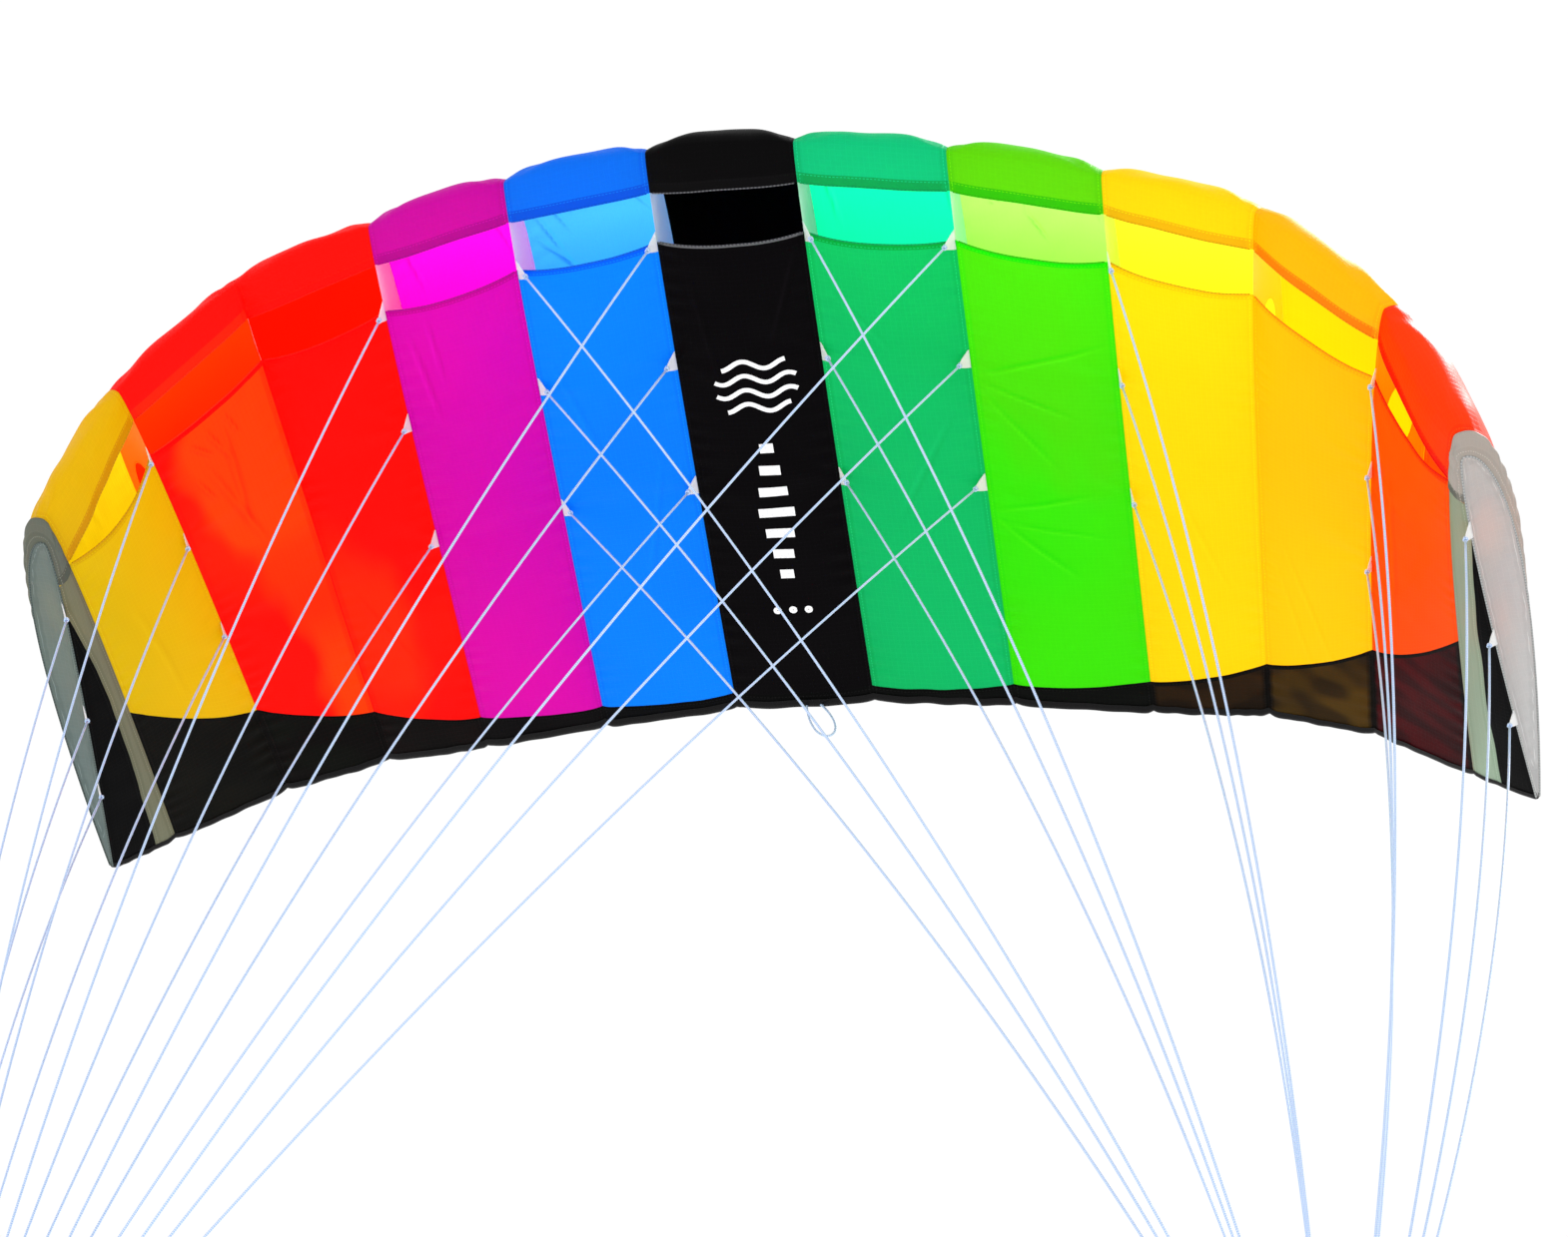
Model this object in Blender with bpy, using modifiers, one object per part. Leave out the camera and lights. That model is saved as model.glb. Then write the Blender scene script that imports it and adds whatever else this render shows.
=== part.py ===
"""Two-line ram-air foil kite, as it stands in the air.

Thirteen cells side by side make the wing: an upper skin, a lower skin with an
air inlet behind the nose, and a fabric rib at every seam.  Ten of the fourteen
ribs carry three bridle lines each.  The even ribs lead to the left tow knot and
the odd ones to the right tow knot, so the two fans of lines cross under the
middle of the wing.

Metres, +Z up.  +X runs along the span to the kite's right as its flyer sees
it, -Y is the side the nose faces.  The origin lies midway between the two tow
knots.
"""
import math

import bmesh
import bpy
from mathutils import Matrix, Vector

# ---------------------------------------------------------------- dimensions
FLAT_SPAN = 1.600            # wing laid out flat, tip seam to tip seam
CELLS = 13
TIP_CELL_RATIO = 0.44        # width of a tip cell against the other eleven
CELL_WIDTH = FLAT_SPAN / (CELLS - 2 + 2 * TIP_CELL_RATIO)

ARC_ROLL = math.radians(65.0)    # how far the tips hang down
ARC_MIDDLE = 3.93                # cell, counted from the centre, at half that roll
ARC_SPREAD = 0.42                # cells over which the bend is spread

SWEEP = (0.511, -0.492, 0.211)   # nose line: s^2, s^4, s^8
CHORD = (0.595, -0.289, 0.104)   # chord: root, s^4, s^8
NOSE_PULL = {4: (0.0, 0.0106, -0.0110), 5: (0.0102, 0.0220, -0.0199),
             6: (0.0314, -0.0176, 0.0252)}    # outer noses: inward, back and up
TIP_DEPTH = 0.72              # the end ribs are thinner for their length
PITCH = (math.radians(13.8), math.radians(-16.4))  # root, s^2

WING_HEIGHT = 1.340          # centre nose above the tow knots
WING_FORWARD = 0.185         # centre nose ahead of the tow knots
TOW_HALF_WIDTH = 0.520       # half the distance between the tow knots

UPPER_CAMBER = 0.105         # of the chord
LOWER_BELLY = 0.024
EDGE_HALF = 0.0012           # half the opening left between the skins at the back
SKIN = 0.0007
UPPER_BULGE = 0.0120         # how far an inflated cell stands out between its ribs
LOWER_BULGE = 0.0065
NOSE_EDGE = 0.060            # hem of the upper skin, under the nose
LOWER_FRONT = 0.140          # hem of the lower skin, behind the inlet
TIP_NOSE_EDGE = 0.1180       # the inlet closes at the outer seams
TIP_LOWER_FRONT = 0.1220
BAND_START = (0.972, 0.962, 0.940, 0.890, 0.785, 0.580)  # by seam, from the centre
UPPER_SEAM = 0.0004          # half the slot between two upper skins
LOWER_SEAM = 0.0008          # the same below, where the rib's tabs come through
TIP_SEAM = 0.0016            # and in the narrow tip cells

RIB_THICK = 0.0006
RIB_INSET_UPPER = 0.0012
RIB_INSET_LOWER = 0.0019
END_INSET_LOWER = 0.0030
RIB_END = 0.975
TAB_AT = (0.140, 0.345, 0.570)
END_TAB_AT = (0.190, 0.500, 0.745)
TAB_DROP = 0.0140            # a tab's tip below the lower skin
TAB_BASE = 0.020
TAB_TIP = 0.0024

LINE_D = 0.0022
LINE_BOW = 0.024             # of a line's length, outwards, from the wind on it
LINE_PASS = 0.003            # the two fans pass each other fore and aft
SET_KNOT_R = 0.0030
TOW_KNOT_R = 0.0090
SET_KNOT_AT = 0.0120         # the small knots' circle round the tow knot
SET_KNOT_STEP = math.radians(28.0)
LOOP_D = 0.0025
TOW_LOOP_H = 0.042
TOW_LOOP_W = 0.018
TAIL_LOOP_D = 0.0022
TAIL_LOOP_H = 0.048
TAIL_LOOP_W = 0.021
TAIL_LOOP_X = 0.006
TAIL_LOOP_LEAN = math.radians(26.0)   # blown to the right

# names and colours of the cells, left to right
UPPER = [
    ("tip_left", (0.26, 0.27, 0.22)),
    ("yellow_left", (0.84, 0.51, 0.005)),
    ("red_outer", (1.0, 0.010, 0.0)),
    ("red_inner", (1.0, 0.008, 0.0)),
    ("magenta", (0.75, 0.001, 0.46)),
    ("blue", (0.004, 0.25, 1.0)),
    ("black_centre", (0.010, 0.007, 0.008)),
    ("green", (0.012, 0.55, 0.13)),
    ("lime", (0.06, 0.87, 0.006)),
    ("yellow_right", (1.0, 0.79, 0.008)),
    ("amber", (1.0, 0.60, 0.003)),
    ("orange", (1.0, 0.11, 0.003)),
    ("tip_right", (0.30, 0.32, 0.27)),
]
WHITE = (0.86, 0.86, 0.86)
BLACK = (0.010, 0.010, 0.012)
GREY = (0.24, 0.26, 0.25)
LINE_COLOUR = (0.72, 0.80, 0.90)

# ------------------------------------------------------------------- cleaning
for obj in list(bpy.data.objects):
    bpy.data.objects.remove(obj, do_unlink=True)
kite = bpy.data.collections.new("foil_kite")
cutters = bpy.data.collections.new("cutters")
bpy.context.scene.collection.children.link(kite)
bpy.context.scene.collection.children.link(cutters)


def material(name, colour, roughness=0.6):
    mat = bpy.data.materials.new(name)
    mat.use_nodes = True
    shader = mat.node_tree.nodes["Principled BSDF"]
    shader.inputs["Base Color"].default_value = (*colour, 1.0)
    shader.inputs["Roughness"].default_value = roughness
    shader.inputs["Metallic"].default_value = 0.0
    return mat


def place(obj, collection=kite):
    for c in list(obj.users_collection):
        c.objects.unlink(obj)
    collection.objects.link(obj)
    return obj


# ------------------------------------------------------------------- the wing
def section(q):
    """The wing's outline in its rib plane, as shares of the chord.  q runs from
    -1, the back of the lower side, through 0, the nose, to 1, the back of the
    upper side."""
    u = q * q
    f = 10.0 * (0.2969 * abs(q) - 0.1260 * u - 0.3516 * u**2
                + 0.2843 * u**3 - 0.1015 * u**4)
    return (u, UPPER_CAMBER * f) if q >= 0 else (u, -LOWER_BELLY * f)


class Rib:
    """One seam plane: where its nose is, and which way it points."""

    def __init__(self, index):
        self.index = index
        side = 1.0 if index >= 7 else -1.0
        step = index - 7 if index >= 7 else 6 - index
        x, z, rolls = CELL_WIDTH / 2, 0.0, [0.0]
        spots = [(x, z)]
        for j in range(1, 7):
            roll = ARC_ROLL / (1 + math.exp(-(j - ARC_MIDDLE) / ARC_SPREAD))
            width = CELL_WIDTH * (TIP_CELL_RATIO if j == 6 else 1.0)
            x += width * math.cos(roll)
            z -= width * math.sin(roll)
            rolls.append(roll)
            spots.append((x, z))
        after = rolls[step + 1] if step < 6 else rolls[6] + 0.3 * (rolls[6] - rolls[5])
        roll = (rolls[step] + after) / 2
        s = (step + 0.5) / 6.5
        self.side, self.step = side, step
        self.chord = CHORD[0] + CHORD[1] * s**4 + CHORD[2] * s**8
        nose_y = SWEEP[0] * s**2 + SWEEP[1] * s**4 + SWEEP[2] * s**8
        pitch = PITCH[0] + PITCH[1] * s**2
        up = Vector((side * math.sin(roll), 0.0, math.cos(roll)))
        back = Vector((0.0, 1.0, 0.0))
        self.nose = Vector((side * spots[step][0], nose_y - WING_FORWARD,
                            spots[step][1] + WING_HEIGHT))
        self.fwd = back * math.cos(pitch) - up * math.sin(pitch)
        self.up = up * math.cos(pitch) + back * math.sin(pitch)
        if step in NOSE_PULL:
            inward, behind, rise = NOSE_PULL[step]
            tail = self.nose + self.fwd * self.chord
            self.nose += Vector((-side * inward, behind, rise))
            self.chord = (tail - self.nose).length
            self.fwd = (tail - self.nose).normalized()
            self.up = (self.up - self.fwd * self.up.dot(self.fwd)).normalized()
        self.depth = self.chord * (TIP_DEPTH if step == 6 else 1.0)

    def at(self, u, v):
        """A point from chord share u and height v in metres."""
        return self.nose + self.fwd * (u * self.chord) + self.up * v

    def outline(self, q):
        u, v = section(q)
        edge = EDGE_HALF * u * (1 if q >= 0 else -1)
        return self.at(u, v * self.depth + edge)

    def outward(self, q):
        h = 1e-4
        (u0, v0), (u1, v1) = section(q - h), section(q + h)
        if q - h < 0 <= q + h:
            u1, u0, v0, v1 = 0.0, 0.0, -1.0, 1.0
        n = Vector((-(v1 - v0), u1 - u0))
        n.normalize()
        return self.fwd * n.x + self.up * n.y

    def flat(self, q, inset):
        """An outline point in the rib's own plane, pulled in by inset."""
        h = 1e-4
        u, v = section(q)
        edge = EDGE_HALF * u * (1 if q >= 0 else -1)
        (u0, v0), (u1, v1) = section(q - h), section(q + h)
        if q - h < 0 <= q + h:
            u1, u0, v0, v1 = 0.0, 0.0, -1.0, 1.0
        n = Vector((-(v1 - v0), u1 - u0))
        n.normalize()
        return Vector((u * self.chord, v * self.depth + edge)) - n * inset


ribs = [Rib(k) for k in range(CELLS + 1)]


def bulge(q, height):
    """An inflated cell's stand-out: full over the front half, less to the back."""
    u = q * q
    return height * (1.0 - 0.85 * max(0.0, (u - 0.35) / 0.65) ** 1.5)


def skin_point(cell, a, q, height, seam):
    """A point of cell's skin at share a of the way from its left rib."""
    left, right = ribs[cell], ribs[cell + 1]
    p, r = left.outline(q), right.outline(q)
    width = (r - p).length
    share = seam / width + a * (1.0 - 2.0 * seam / width)
    out = (left.outward(q) + right.outward(q)).normalized()
    return p.lerp(r, share) + out * (bulge(q, height) * 4.0 * share * (1.0 - share))


def loft(name, rows, colour, flip=False, thick=SKIN):
    """A skin through rows of points, given its thickness inwards."""
    bm = bmesh.new()
    grid = [[bm.verts.new(p) for p in row] for row in rows]
    for i in range(len(grid) - 1):
        for j in range(len(grid[0]) - 1):
            quad = [grid[i][j], grid[i][j + 1], grid[i + 1][j + 1], grid[i + 1][j]]
            bm.faces.new(quad[::-1] if flip else quad)
    mesh = bpy.data.meshes.new(name)
    bm.to_mesh(mesh)
    bm.free()
    obj = bpy.data.objects.new(name, mesh)
    place(obj)
    obj.data.materials.append(material(name, colour))
    solid = obj.modifiers.new("cloth", "SOLIDIFY")
    solid.thickness = thick
    solid.offset = -1.0
    return obj


def seam_share(rib, inner, outer):
    """A hem's place on a rib: inner everywhere but on the two outer seams."""
    return outer if rib.step >= 5 else inner


# upper skins, each wrapped round the nose to its hem
UPPER_Q = [1.0, 0.92, 0.83, 0.74, 0.64, 0.53, 0.42, 0.31, 0.20, 0.10, 0.0]
for cell, (label, colour) in enumerate(UPPER):
    left = seam_share(ribs[cell], NOSE_EDGE, TIP_NOSE_EDGE)
    right = seam_share(ribs[cell + 1], NOSE_EDGE, TIP_NOSE_EDGE)
    rows = [[skin_point(cell, i / 3, q, UPPER_BULGE,
                                   UPPER_SEAM if 0 < cell < CELLS - 1 else TIP_SEAM) for i in range(4)]
            for q in UPPER_Q]
    for share in (0.45, 1.0):
        rows.append([skin_point(cell, i / 3,
                                -share * math.sqrt(left + (right - left) * i / 3),
                                UPPER_BULGE,
                                   UPPER_SEAM if 0 < cell < CELLS - 1 else TIP_SEAM) for i in range(4)])
    loft(f"upper_skin_{label}", rows, colour, flip=False)

# lower skins, from the inlet back to the black band
def band_start(rib):
    return BAND_START[min(rib.step, 5)]


for cell, (label, colour) in enumerate(UPPER):
    if cell in (0, CELLS - 1):
        continue
    rows = []
    for k in range(6):
        row = []
        for i in range(4):
            a = i / 3
            front = (seam_share(ribs[cell], LOWER_FRONT, TIP_LOWER_FRONT) * (1 - a)
                     + seam_share(ribs[cell + 1], LOWER_FRONT, TIP_LOWER_FRONT) * a)
            back = band_start(ribs[cell]) * (1 - a) + band_start(ribs[cell + 1]) * a
            u = front + (back - 0.0008 - front) * k / 5
            row.append(skin_point(cell, a, -math.sqrt(u), LOWER_BULGE, LOWER_SEAM))
        rows.append(row)
    loft(f"lower_skin_{label}", rows, colour, flip=False)

# the black band along the back of the eleven inner cells, in one length
rows = []
for k in range(3):
    row = []
    for cell in range(1, CELLS - 1):
        for i in range(3 if cell < CELLS - 2 else 4):
            a = i / 3
            start = band_start(ribs[cell]) * (1 - a) + band_start(ribs[cell + 1]) * a
            u = start + 0.0008 + (1.0 - start - 0.0008) * k / 2
            if (cell == 1 and i == 0) or (cell == CELLS - 2 and i == 3):
                row.append(skin_point(cell, a, -math.sqrt(u), LOWER_BULGE, LOWER_SEAM))
            else:
                row.append(skin_point(cell, a, -math.sqrt(u), LOWER_BULGE, 0.0))
    rows.append(row)
loft("trailing_edge_band", rows, BLACK, flip=False)


def wedge_edge(u):
    """Where the tip's black wedge begins, from 0 at the outer seam to 1 at the tip."""
    return 0.25 + 0.75 * max(0.0, (1.0 - u) / 0.8) ** 2.8


# tip cells: a grey strip beside the outer seam and a black wedge along the tip
for cell, side in ((0, "left"), (CELLS - 1, "right")):
    def across(share):
        return 1.0 - share if cell == 0 else share
    strip, wedge = [], []
    for k in range(7):
        u = TIP_LOWER_FRONT + (1.0 - TIP_LOWER_FRONT) * k / 6
        edge = min(1.0, wedge_edge(u)) if u > 0.20 else 1.0
        strip.append([skin_point(cell, across((edge - (0.012 if edge < 1 else 0)) * i / 2),
                                 -math.sqrt(u), LOWER_BULGE, TIP_SEAM) for i in range(3)])
    for k in range(6):
        u = 0.27 + 0.73 * k / 5
        edge = wedge_edge(u)
        wedge.append([skin_point(cell, across(edge + 0.012 + (1.0 - edge - 0.012) * i / 2),
                                 -math.sqrt(u), LOWER_BULGE, TIP_SEAM) for i in range(3)])
    loft(f"lower_skin_tip_{side}", strip, GREY, flip=cell == 0)
    loft(f"tip_wedge_{side}", wedge, BLACK, flip=cell == 0)


# ----------------------------------------------------------------------- ribs
def flat_piece(name, loops, thick, matrix, colour):
    """A flat cut-out: its outline first, then the holes in it."""
    curve = bpy.data.curves.new(name, "CURVE")
    curve.dimensions = "2D"
    curve.fill_mode = "BOTH"
    curve.extrude = thick / 2
    for points in loops:
        spline = curve.splines.new("POLY")
        spline.points.add(len(points) - 1)
        for spot, p in zip(spline.points, points):
            spot.co = (p[0], p[1], 0.0, 1.0)
        spline.use_cyclic_u = True
    obj = bpy.data.objects.new(name, curve)
    obj.matrix_world = matrix
    place(obj)
    obj.data.materials.append(material(name, colour))
    return obj


def rib_matrix(rib):
    normal = rib.fwd.cross(rib.up)
    m = Matrix((rib.fwd, rib.up, normal)).transposed().to_4x4()
    m.translation = rib.nose
    return m


BRIDLED = {0: "left", 2: "left", 4: "left", 6: "left", 8: "left",
           13: "right", 11: "right", 9: "right", 7: "right", 5: "right"}


def tab_shares(rib):
    return END_TAB_AT if rib.step == 6 else TAB_AT


def lower_height(rib, u):
    _, v = section(-math.sqrt(u))
    return v * rib.depth - EDGE_HALF * u


for rib in ribs:
    upper = [rib.flat(q, RIB_INSET_UPPER) for q in UPPER_Q[1:]]
    end = math.sqrt(RIB_END)
    upper = [rib.flat(end, RIB_INSET_UPPER)] + upper
    lower = []
    marks = [0.02, 0.06]
    if rib.index in BRIDLED:
        for u in tab_shares(rib):
            half = TAB_BASE / 2 / rib.chord
            marks += [u - half, ("tab", u), u + half]
    else:
        marks += [0.14, 0.35, 0.57]
    marks += [0.85, RIB_END] if rib.step < 6 else [0.88, RIB_END]
    for mark in marks:
        if isinstance(mark, tuple):
            u = mark[1]
            tip = lower_height(rib, u) - TAB_DROP
            lower.append(Vector((u * rib.chord - TAB_TIP / 2, tip)))
            lower.append(Vector((u * rib.chord + TAB_TIP / 2, tip)))
        else:
            lower.append(rib.flat(-math.sqrt(mark), END_INSET_LOWER if rib.step == 6 else RIB_INSET_LOWER))
    loops = [upper + lower]
    if 1 <= rib.index <= 12:
        for u, half in ((0.26, 0.070), (0.50, 0.060)):
            _, top = section(math.sqrt(u))
            _, low = section(-math.sqrt(u))
            mid, tall = (top + low) / 2 * rib.depth, (top - low) * 0.27 * rib.depth
            loops.append([(u * rib.chord + half * rib.chord * math.cos(t * math.pi / 4),
                           mid + tall * math.sin(t * math.pi / 4)) for t in range(8)])
    label = (f"rib_{rib.index:02d}" if rib.step < 6
             else "end_rib_left" if rib.index == 0 else "end_rib_right")
    flat_piece(label, loops, RIB_THICK, rib_matrix(rib), GREY if rib.step == 6 else WHITE)


# --------------------------------------------------------------------- bridle
def tube(name, points, diameter, colour, collection=kite):
    curve = bpy.data.curves.new(name, "CURVE")
    curve.dimensions = "3D"
    curve.bevel_depth = diameter / 2
    curve.bevel_resolution = 2
    curve.use_fill_caps = True
    curve.twist_mode = "MINIMUM"
    spline = curve.splines.new("POLY")
    spline.points.add(len(points) - 1)
    for spot, p in zip(spline.points, points):
        spot.co = (*p, 1.0)
    obj = bpy.data.objects.new(name, curve)
    place(obj, collection)
    obj.data.materials.append(material(name, colour))
    return obj


def as_mesh(obj, collection):
    """A curve turned into a closed mesh, so that Booleans can use it."""
    bpy.context.view_layer.update()
    graph = bpy.context.evaluated_depsgraph_get()
    mesh = bpy.data.meshes.new_from_object(obj.evaluated_get(graph))
    bm = bmesh.new()
    bm.from_mesh(mesh)
    bmesh.ops.remove_doubles(bm, verts=bm.verts, dist=1e-5)
    bmesh.ops.recalc_face_normals(bm, faces=bm.faces)
    bm.to_mesh(mesh)
    bm.free()
    solid = bpy.data.objects.new(obj.name + "_solid", mesh)
    solid.matrix_world = obj.matrix_world
    place(solid, collection)
    name = obj.name
    bpy.data.objects.remove(obj, do_unlink=True)
    solid.name = name
    return solid


def line_points(top, foot, side, count):
    """A taut line from top to foot, bowed a little outwards by the wind."""
    chord = foot - top
    out = Vector((side, 0.0, 0.0))
    out -= chord * (out.dot(chord) / chord.length_squared)
    out.normalize()
    points = []
    for i in range(count):
        t = i / (count - 1)
        sag = 4.0 * t * (1.0 - t)
        points.append(top + chord * t + out * (LINE_BOW * chord.length * sag)
                      + Vector((0.0, side * LINE_PASS * sag, 0.0)))
    return points


def tow_point(side):
    return Vector((side * TOW_HALF_WIDTH, 0.0, 0.0))


for group, order in (("left", (0, 2, 4, 6, 8)), ("right", (5, 7, 9, 11, 13))):
    side = -1.0 if group == "left" else 1.0
    for place_in_fan, index in enumerate(order):
        rib = ribs[index]
        angle = (place_in_fan - 2) * SET_KNOT_STEP
        foot = tow_point(side) + Vector((math.sin(angle), 0.0, math.cos(angle))) * SET_KNOT_AT
        lines = []
        for letter, u in zip("abc", tab_shares(rib)):
            top = rib.at(u, lower_height(rib, u) - TAB_DROP - 0.0011)
            lines.append(as_mesh(tube(f"line_{index:02d}_{letter}",
                                      line_points(top, foot, side, 6), LINE_D,
                                      LINE_COLOUR, cutters), cutters))
        bpy.ops.mesh.primitive_uv_sphere_add(segments=8, ring_count=6, radius=SET_KNOT_R,
                                             location=foot)
        knot = bpy.context.object
        knot.name = f"bridle_rib_{index:02d}"
        knot.data.name = knot.name
        place(knot)
        knot.data.materials.append(material(knot.name, LINE_COLOUR))
        for line in lines:
            line.hide_render = True
            line.display_type = "WIRE"
            join = knot.modifiers.new("join", "BOOLEAN")
            join.operation = "UNION"
            join.solver = "EXACT"
            join.object = line

# tow knots and the loops that the flying lines hitch to
def loop_points(top, height, width, count, gap, lean=0.0):
    """A hanging eye of cord, open at the top where its two ends are held."""
    start = math.asin(min(1.0, gap / width)) + 0.18
    points = []
    for i in range(count):
        phi = start + (2.0 * math.pi - 2.0 * start) * i / (count - 1)
        x = -width / 2 * math.sin(phi) * (1.0 - 0.32 * math.cos(phi)) / 1.06
        z = -height * (math.cos(start) - math.cos(phi)) / (1.0 + math.cos(start))
        points.append(top + Vector((x * math.cos(lean) - z * math.sin(lean), 0.0,
                                    x * math.sin(lean) + z * math.cos(lean))))
    return points


for group, side in (("left", -1.0), ("right", 1.0)):
    bpy.ops.mesh.primitive_uv_sphere_add(segments=12, ring_count=8, radius=TOW_KNOT_R,
                                         location=tow_point(side))
    knot = bpy.context.object
    knot.name = f"tow_knot_{group}"
    knot.data.name = knot.name
    place(knot)
    knot.data.materials.append(material(knot.name, LINE_COLOUR))
    top = tow_point(side) - Vector((0.0, 0.0, TOW_KNOT_R + LOOP_D / 2 + 0.0012))
    tube(f"tow_loop_{group}", loop_points(top, TOW_LOOP_H, TOW_LOOP_W, 17, 0.004),
         LOOP_D, LINE_COLOUR)

# the small loop behind the centre cell
left, right = ribs[6], ribs[7]
tail = left.outline(-1.0).lerp(right.outline(-1.0), 0.5)
top = Vector((TAIL_LOOP_X, tail.y + TAIL_LOOP_D / 2 + 0.0010, tail.z + 0.0010))
tube("tail_loop", loop_points(top, TAIL_LOOP_H, TAIL_LOOP_W, 17, 0.012,
                              TAIL_LOOP_LEAN), TAIL_LOOP_D, LINE_COLOUR)
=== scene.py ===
import json
import math

import bpy
import bmesh
import numpy as np
from mathutils import Matrix, Vector
from mathutils.geometry import delaunay_2d_cdt


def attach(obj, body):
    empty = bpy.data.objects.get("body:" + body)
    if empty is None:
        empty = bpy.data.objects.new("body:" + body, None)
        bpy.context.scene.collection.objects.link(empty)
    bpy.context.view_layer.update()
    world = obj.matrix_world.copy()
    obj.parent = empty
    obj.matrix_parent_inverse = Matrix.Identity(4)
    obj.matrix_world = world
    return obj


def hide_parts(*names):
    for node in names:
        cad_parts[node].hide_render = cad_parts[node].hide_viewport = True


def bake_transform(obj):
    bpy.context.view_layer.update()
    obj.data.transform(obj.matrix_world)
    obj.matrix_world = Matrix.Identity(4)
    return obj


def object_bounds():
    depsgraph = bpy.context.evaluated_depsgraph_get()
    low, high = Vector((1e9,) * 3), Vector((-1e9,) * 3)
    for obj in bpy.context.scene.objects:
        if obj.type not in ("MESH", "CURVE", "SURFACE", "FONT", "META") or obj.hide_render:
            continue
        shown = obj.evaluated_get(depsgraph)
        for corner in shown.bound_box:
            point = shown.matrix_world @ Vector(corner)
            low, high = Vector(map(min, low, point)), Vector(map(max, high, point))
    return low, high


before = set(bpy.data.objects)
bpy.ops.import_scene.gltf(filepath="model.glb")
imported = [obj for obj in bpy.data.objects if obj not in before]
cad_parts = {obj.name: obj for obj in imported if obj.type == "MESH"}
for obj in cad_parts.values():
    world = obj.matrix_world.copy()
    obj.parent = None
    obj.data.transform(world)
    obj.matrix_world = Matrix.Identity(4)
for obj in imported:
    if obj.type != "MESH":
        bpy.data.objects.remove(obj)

CAD_BOX = [[float(x) for x in corner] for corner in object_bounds()]
scene = bpy.context.scene

# --------------------------------------------------------------------------
# The kite's dimensions, in metres, as in part.py
# --------------------------------------------------------------------------
FLAT_SPAN, CELLS, TIP_CELL_RATIO = 1.600, 13, 0.44
CELL_WIDTH = FLAT_SPAN / (CELLS - 2 + 2 * TIP_CELL_RATIO)
ARC_ROLL, ARC_MIDDLE, ARC_SPREAD = math.radians(65.0), 3.93, 0.42
SWEEP = (0.511, -0.492, 0.211)
CHORD = (0.595, -0.289, 0.104)
PITCH = (math.radians(13.8), math.radians(-16.4))
NOSE_PULL = {4: (0.0, 0.0106, -0.0110), 5: (0.0102, 0.0220, -0.0199),
             6: (0.0314, -0.0176, 0.0252)}
TIP_DEPTH = 0.72
WING_HEIGHT, WING_FORWARD, TOW_HALF_WIDTH = 1.340, 0.185, 0.520
UPPER_CAMBER, LOWER_BELLY, EDGE_HALF = 0.105, 0.024, 0.0012
UPPER_BULGE, LOWER_BULGE = 0.0120, 0.0065
NOSE_EDGE, LOWER_FRONT = 0.060, 0.140
TIP_NOSE_EDGE, TIP_LOWER_FRONT = 0.1180, 0.1220
BAND_START = (0.972, 0.962, 0.940, 0.890, 0.785, 0.580)
TAB_AT, END_TAB_AT = (0.140, 0.345, 0.570), (0.190, 0.500, 0.745)
TAB_DROP, TAB_BASE = 0.0140, 0.020
LINE_D, LINE_BOW, LINE_PASS = 0.0022, 0.024, 0.003
TOW_KNOT_R, SET_KNOT_R, SET_KNOT_AT = 0.0090, 0.0030, 0.0120
SET_KNOT_STEP = math.radians(28.0)
LOOP_D, TOW_LOOP_H, TOW_LOOP_W = 0.0025, 0.042, 0.018
TAIL_LOOP_D, TAIL_LOOP_H, TAIL_LOOP_W, TAIL_LOOP_X = 0.0022, 0.048, 0.021, 0.006
TAIL_LOOP_LEAN = math.radians(26.0)
LABELS = ["tip_left", "yellow_left", "red_outer", "red_inner", "magenta", "blue",
          "black_centre", "green", "lime", "yellow_right", "amber", "orange", "tip_right"]
BRIDLED = {0: "left", 2: "left", 4: "left", 6: "left", 8: "left",
           13: "right", 11: "right", 9: "right", 7: "right", 5: "right"}

# --------------------------------------------------------------------------
# Camera, floor, sky and lamps
# --------------------------------------------------------------------------
cam_data = bpy.data.cameras.new("camera")
cam_data.sensor_fit = "HORIZONTAL"
cam_data.sensor_width = 36.0
cam_data.lens = 36.0 * 4500.0 / 1570.0
cam_data.clip_start, cam_data.clip_end = 0.05, 400.0
camera = bpy.data.objects.new("camera", cam_data)
scene.collection.objects.link(camera)
right = Vector((0.9853, 0.1544, 0.0733))
down = Vector((-0.0552, 0.6936, -0.7182))
ahead = right.cross(down)
rotation = Matrix((right, -down, -ahead)).transposed()
camera.matrix_world = Matrix.Translation((0.6841, -2.7088, -1.7396)) @ rotation.to_4x4()
scene.camera = camera
scene.view_settings.view_transform = "Standard"
scene.view_settings.look = "None"

world = bpy.data.worlds.new("sky")
scene.world = world
world.use_nodes = True
world.node_tree.nodes["Background"].inputs["Color"].default_value = (1.0, 1.0, 1.0, 1.0)
world.node_tree.nodes["Background"].inputs["Strength"].default_value = 1.02

sun_data = bpy.data.lights.new("sun", "SUN")
sun_data.energy = 4.4
sun_data.angle = math.radians(9.0)
sun = bpy.data.objects.new("sun", sun_data)
scene.collection.objects.link(sun)
sun.rotation_euler = Vector((0.30, 0.38, 0.87)).to_track_quat("Z", "Y").to_euler()

bpy.ops.mesh.primitive_circle_add(vertices=96, radius=70.0, fill_type="NGON",
                                  location=(0.0, 0.0, -8.0))
floor = bpy.context.object
floor.name = "floor"
floor_mat = bpy.data.materials.new("pale_floor")
floor_mat.use_nodes = True
floor_mat.node_tree.nodes["Principled BSDF"].inputs["Base Color"].default_value = (0.55, 0.55, 0.55, 1)
floor_mat.node_tree.nodes["Principled BSDF"].inputs["Roughness"].default_value = 0.9
floor.data.materials.append(floor_mat)


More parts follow.
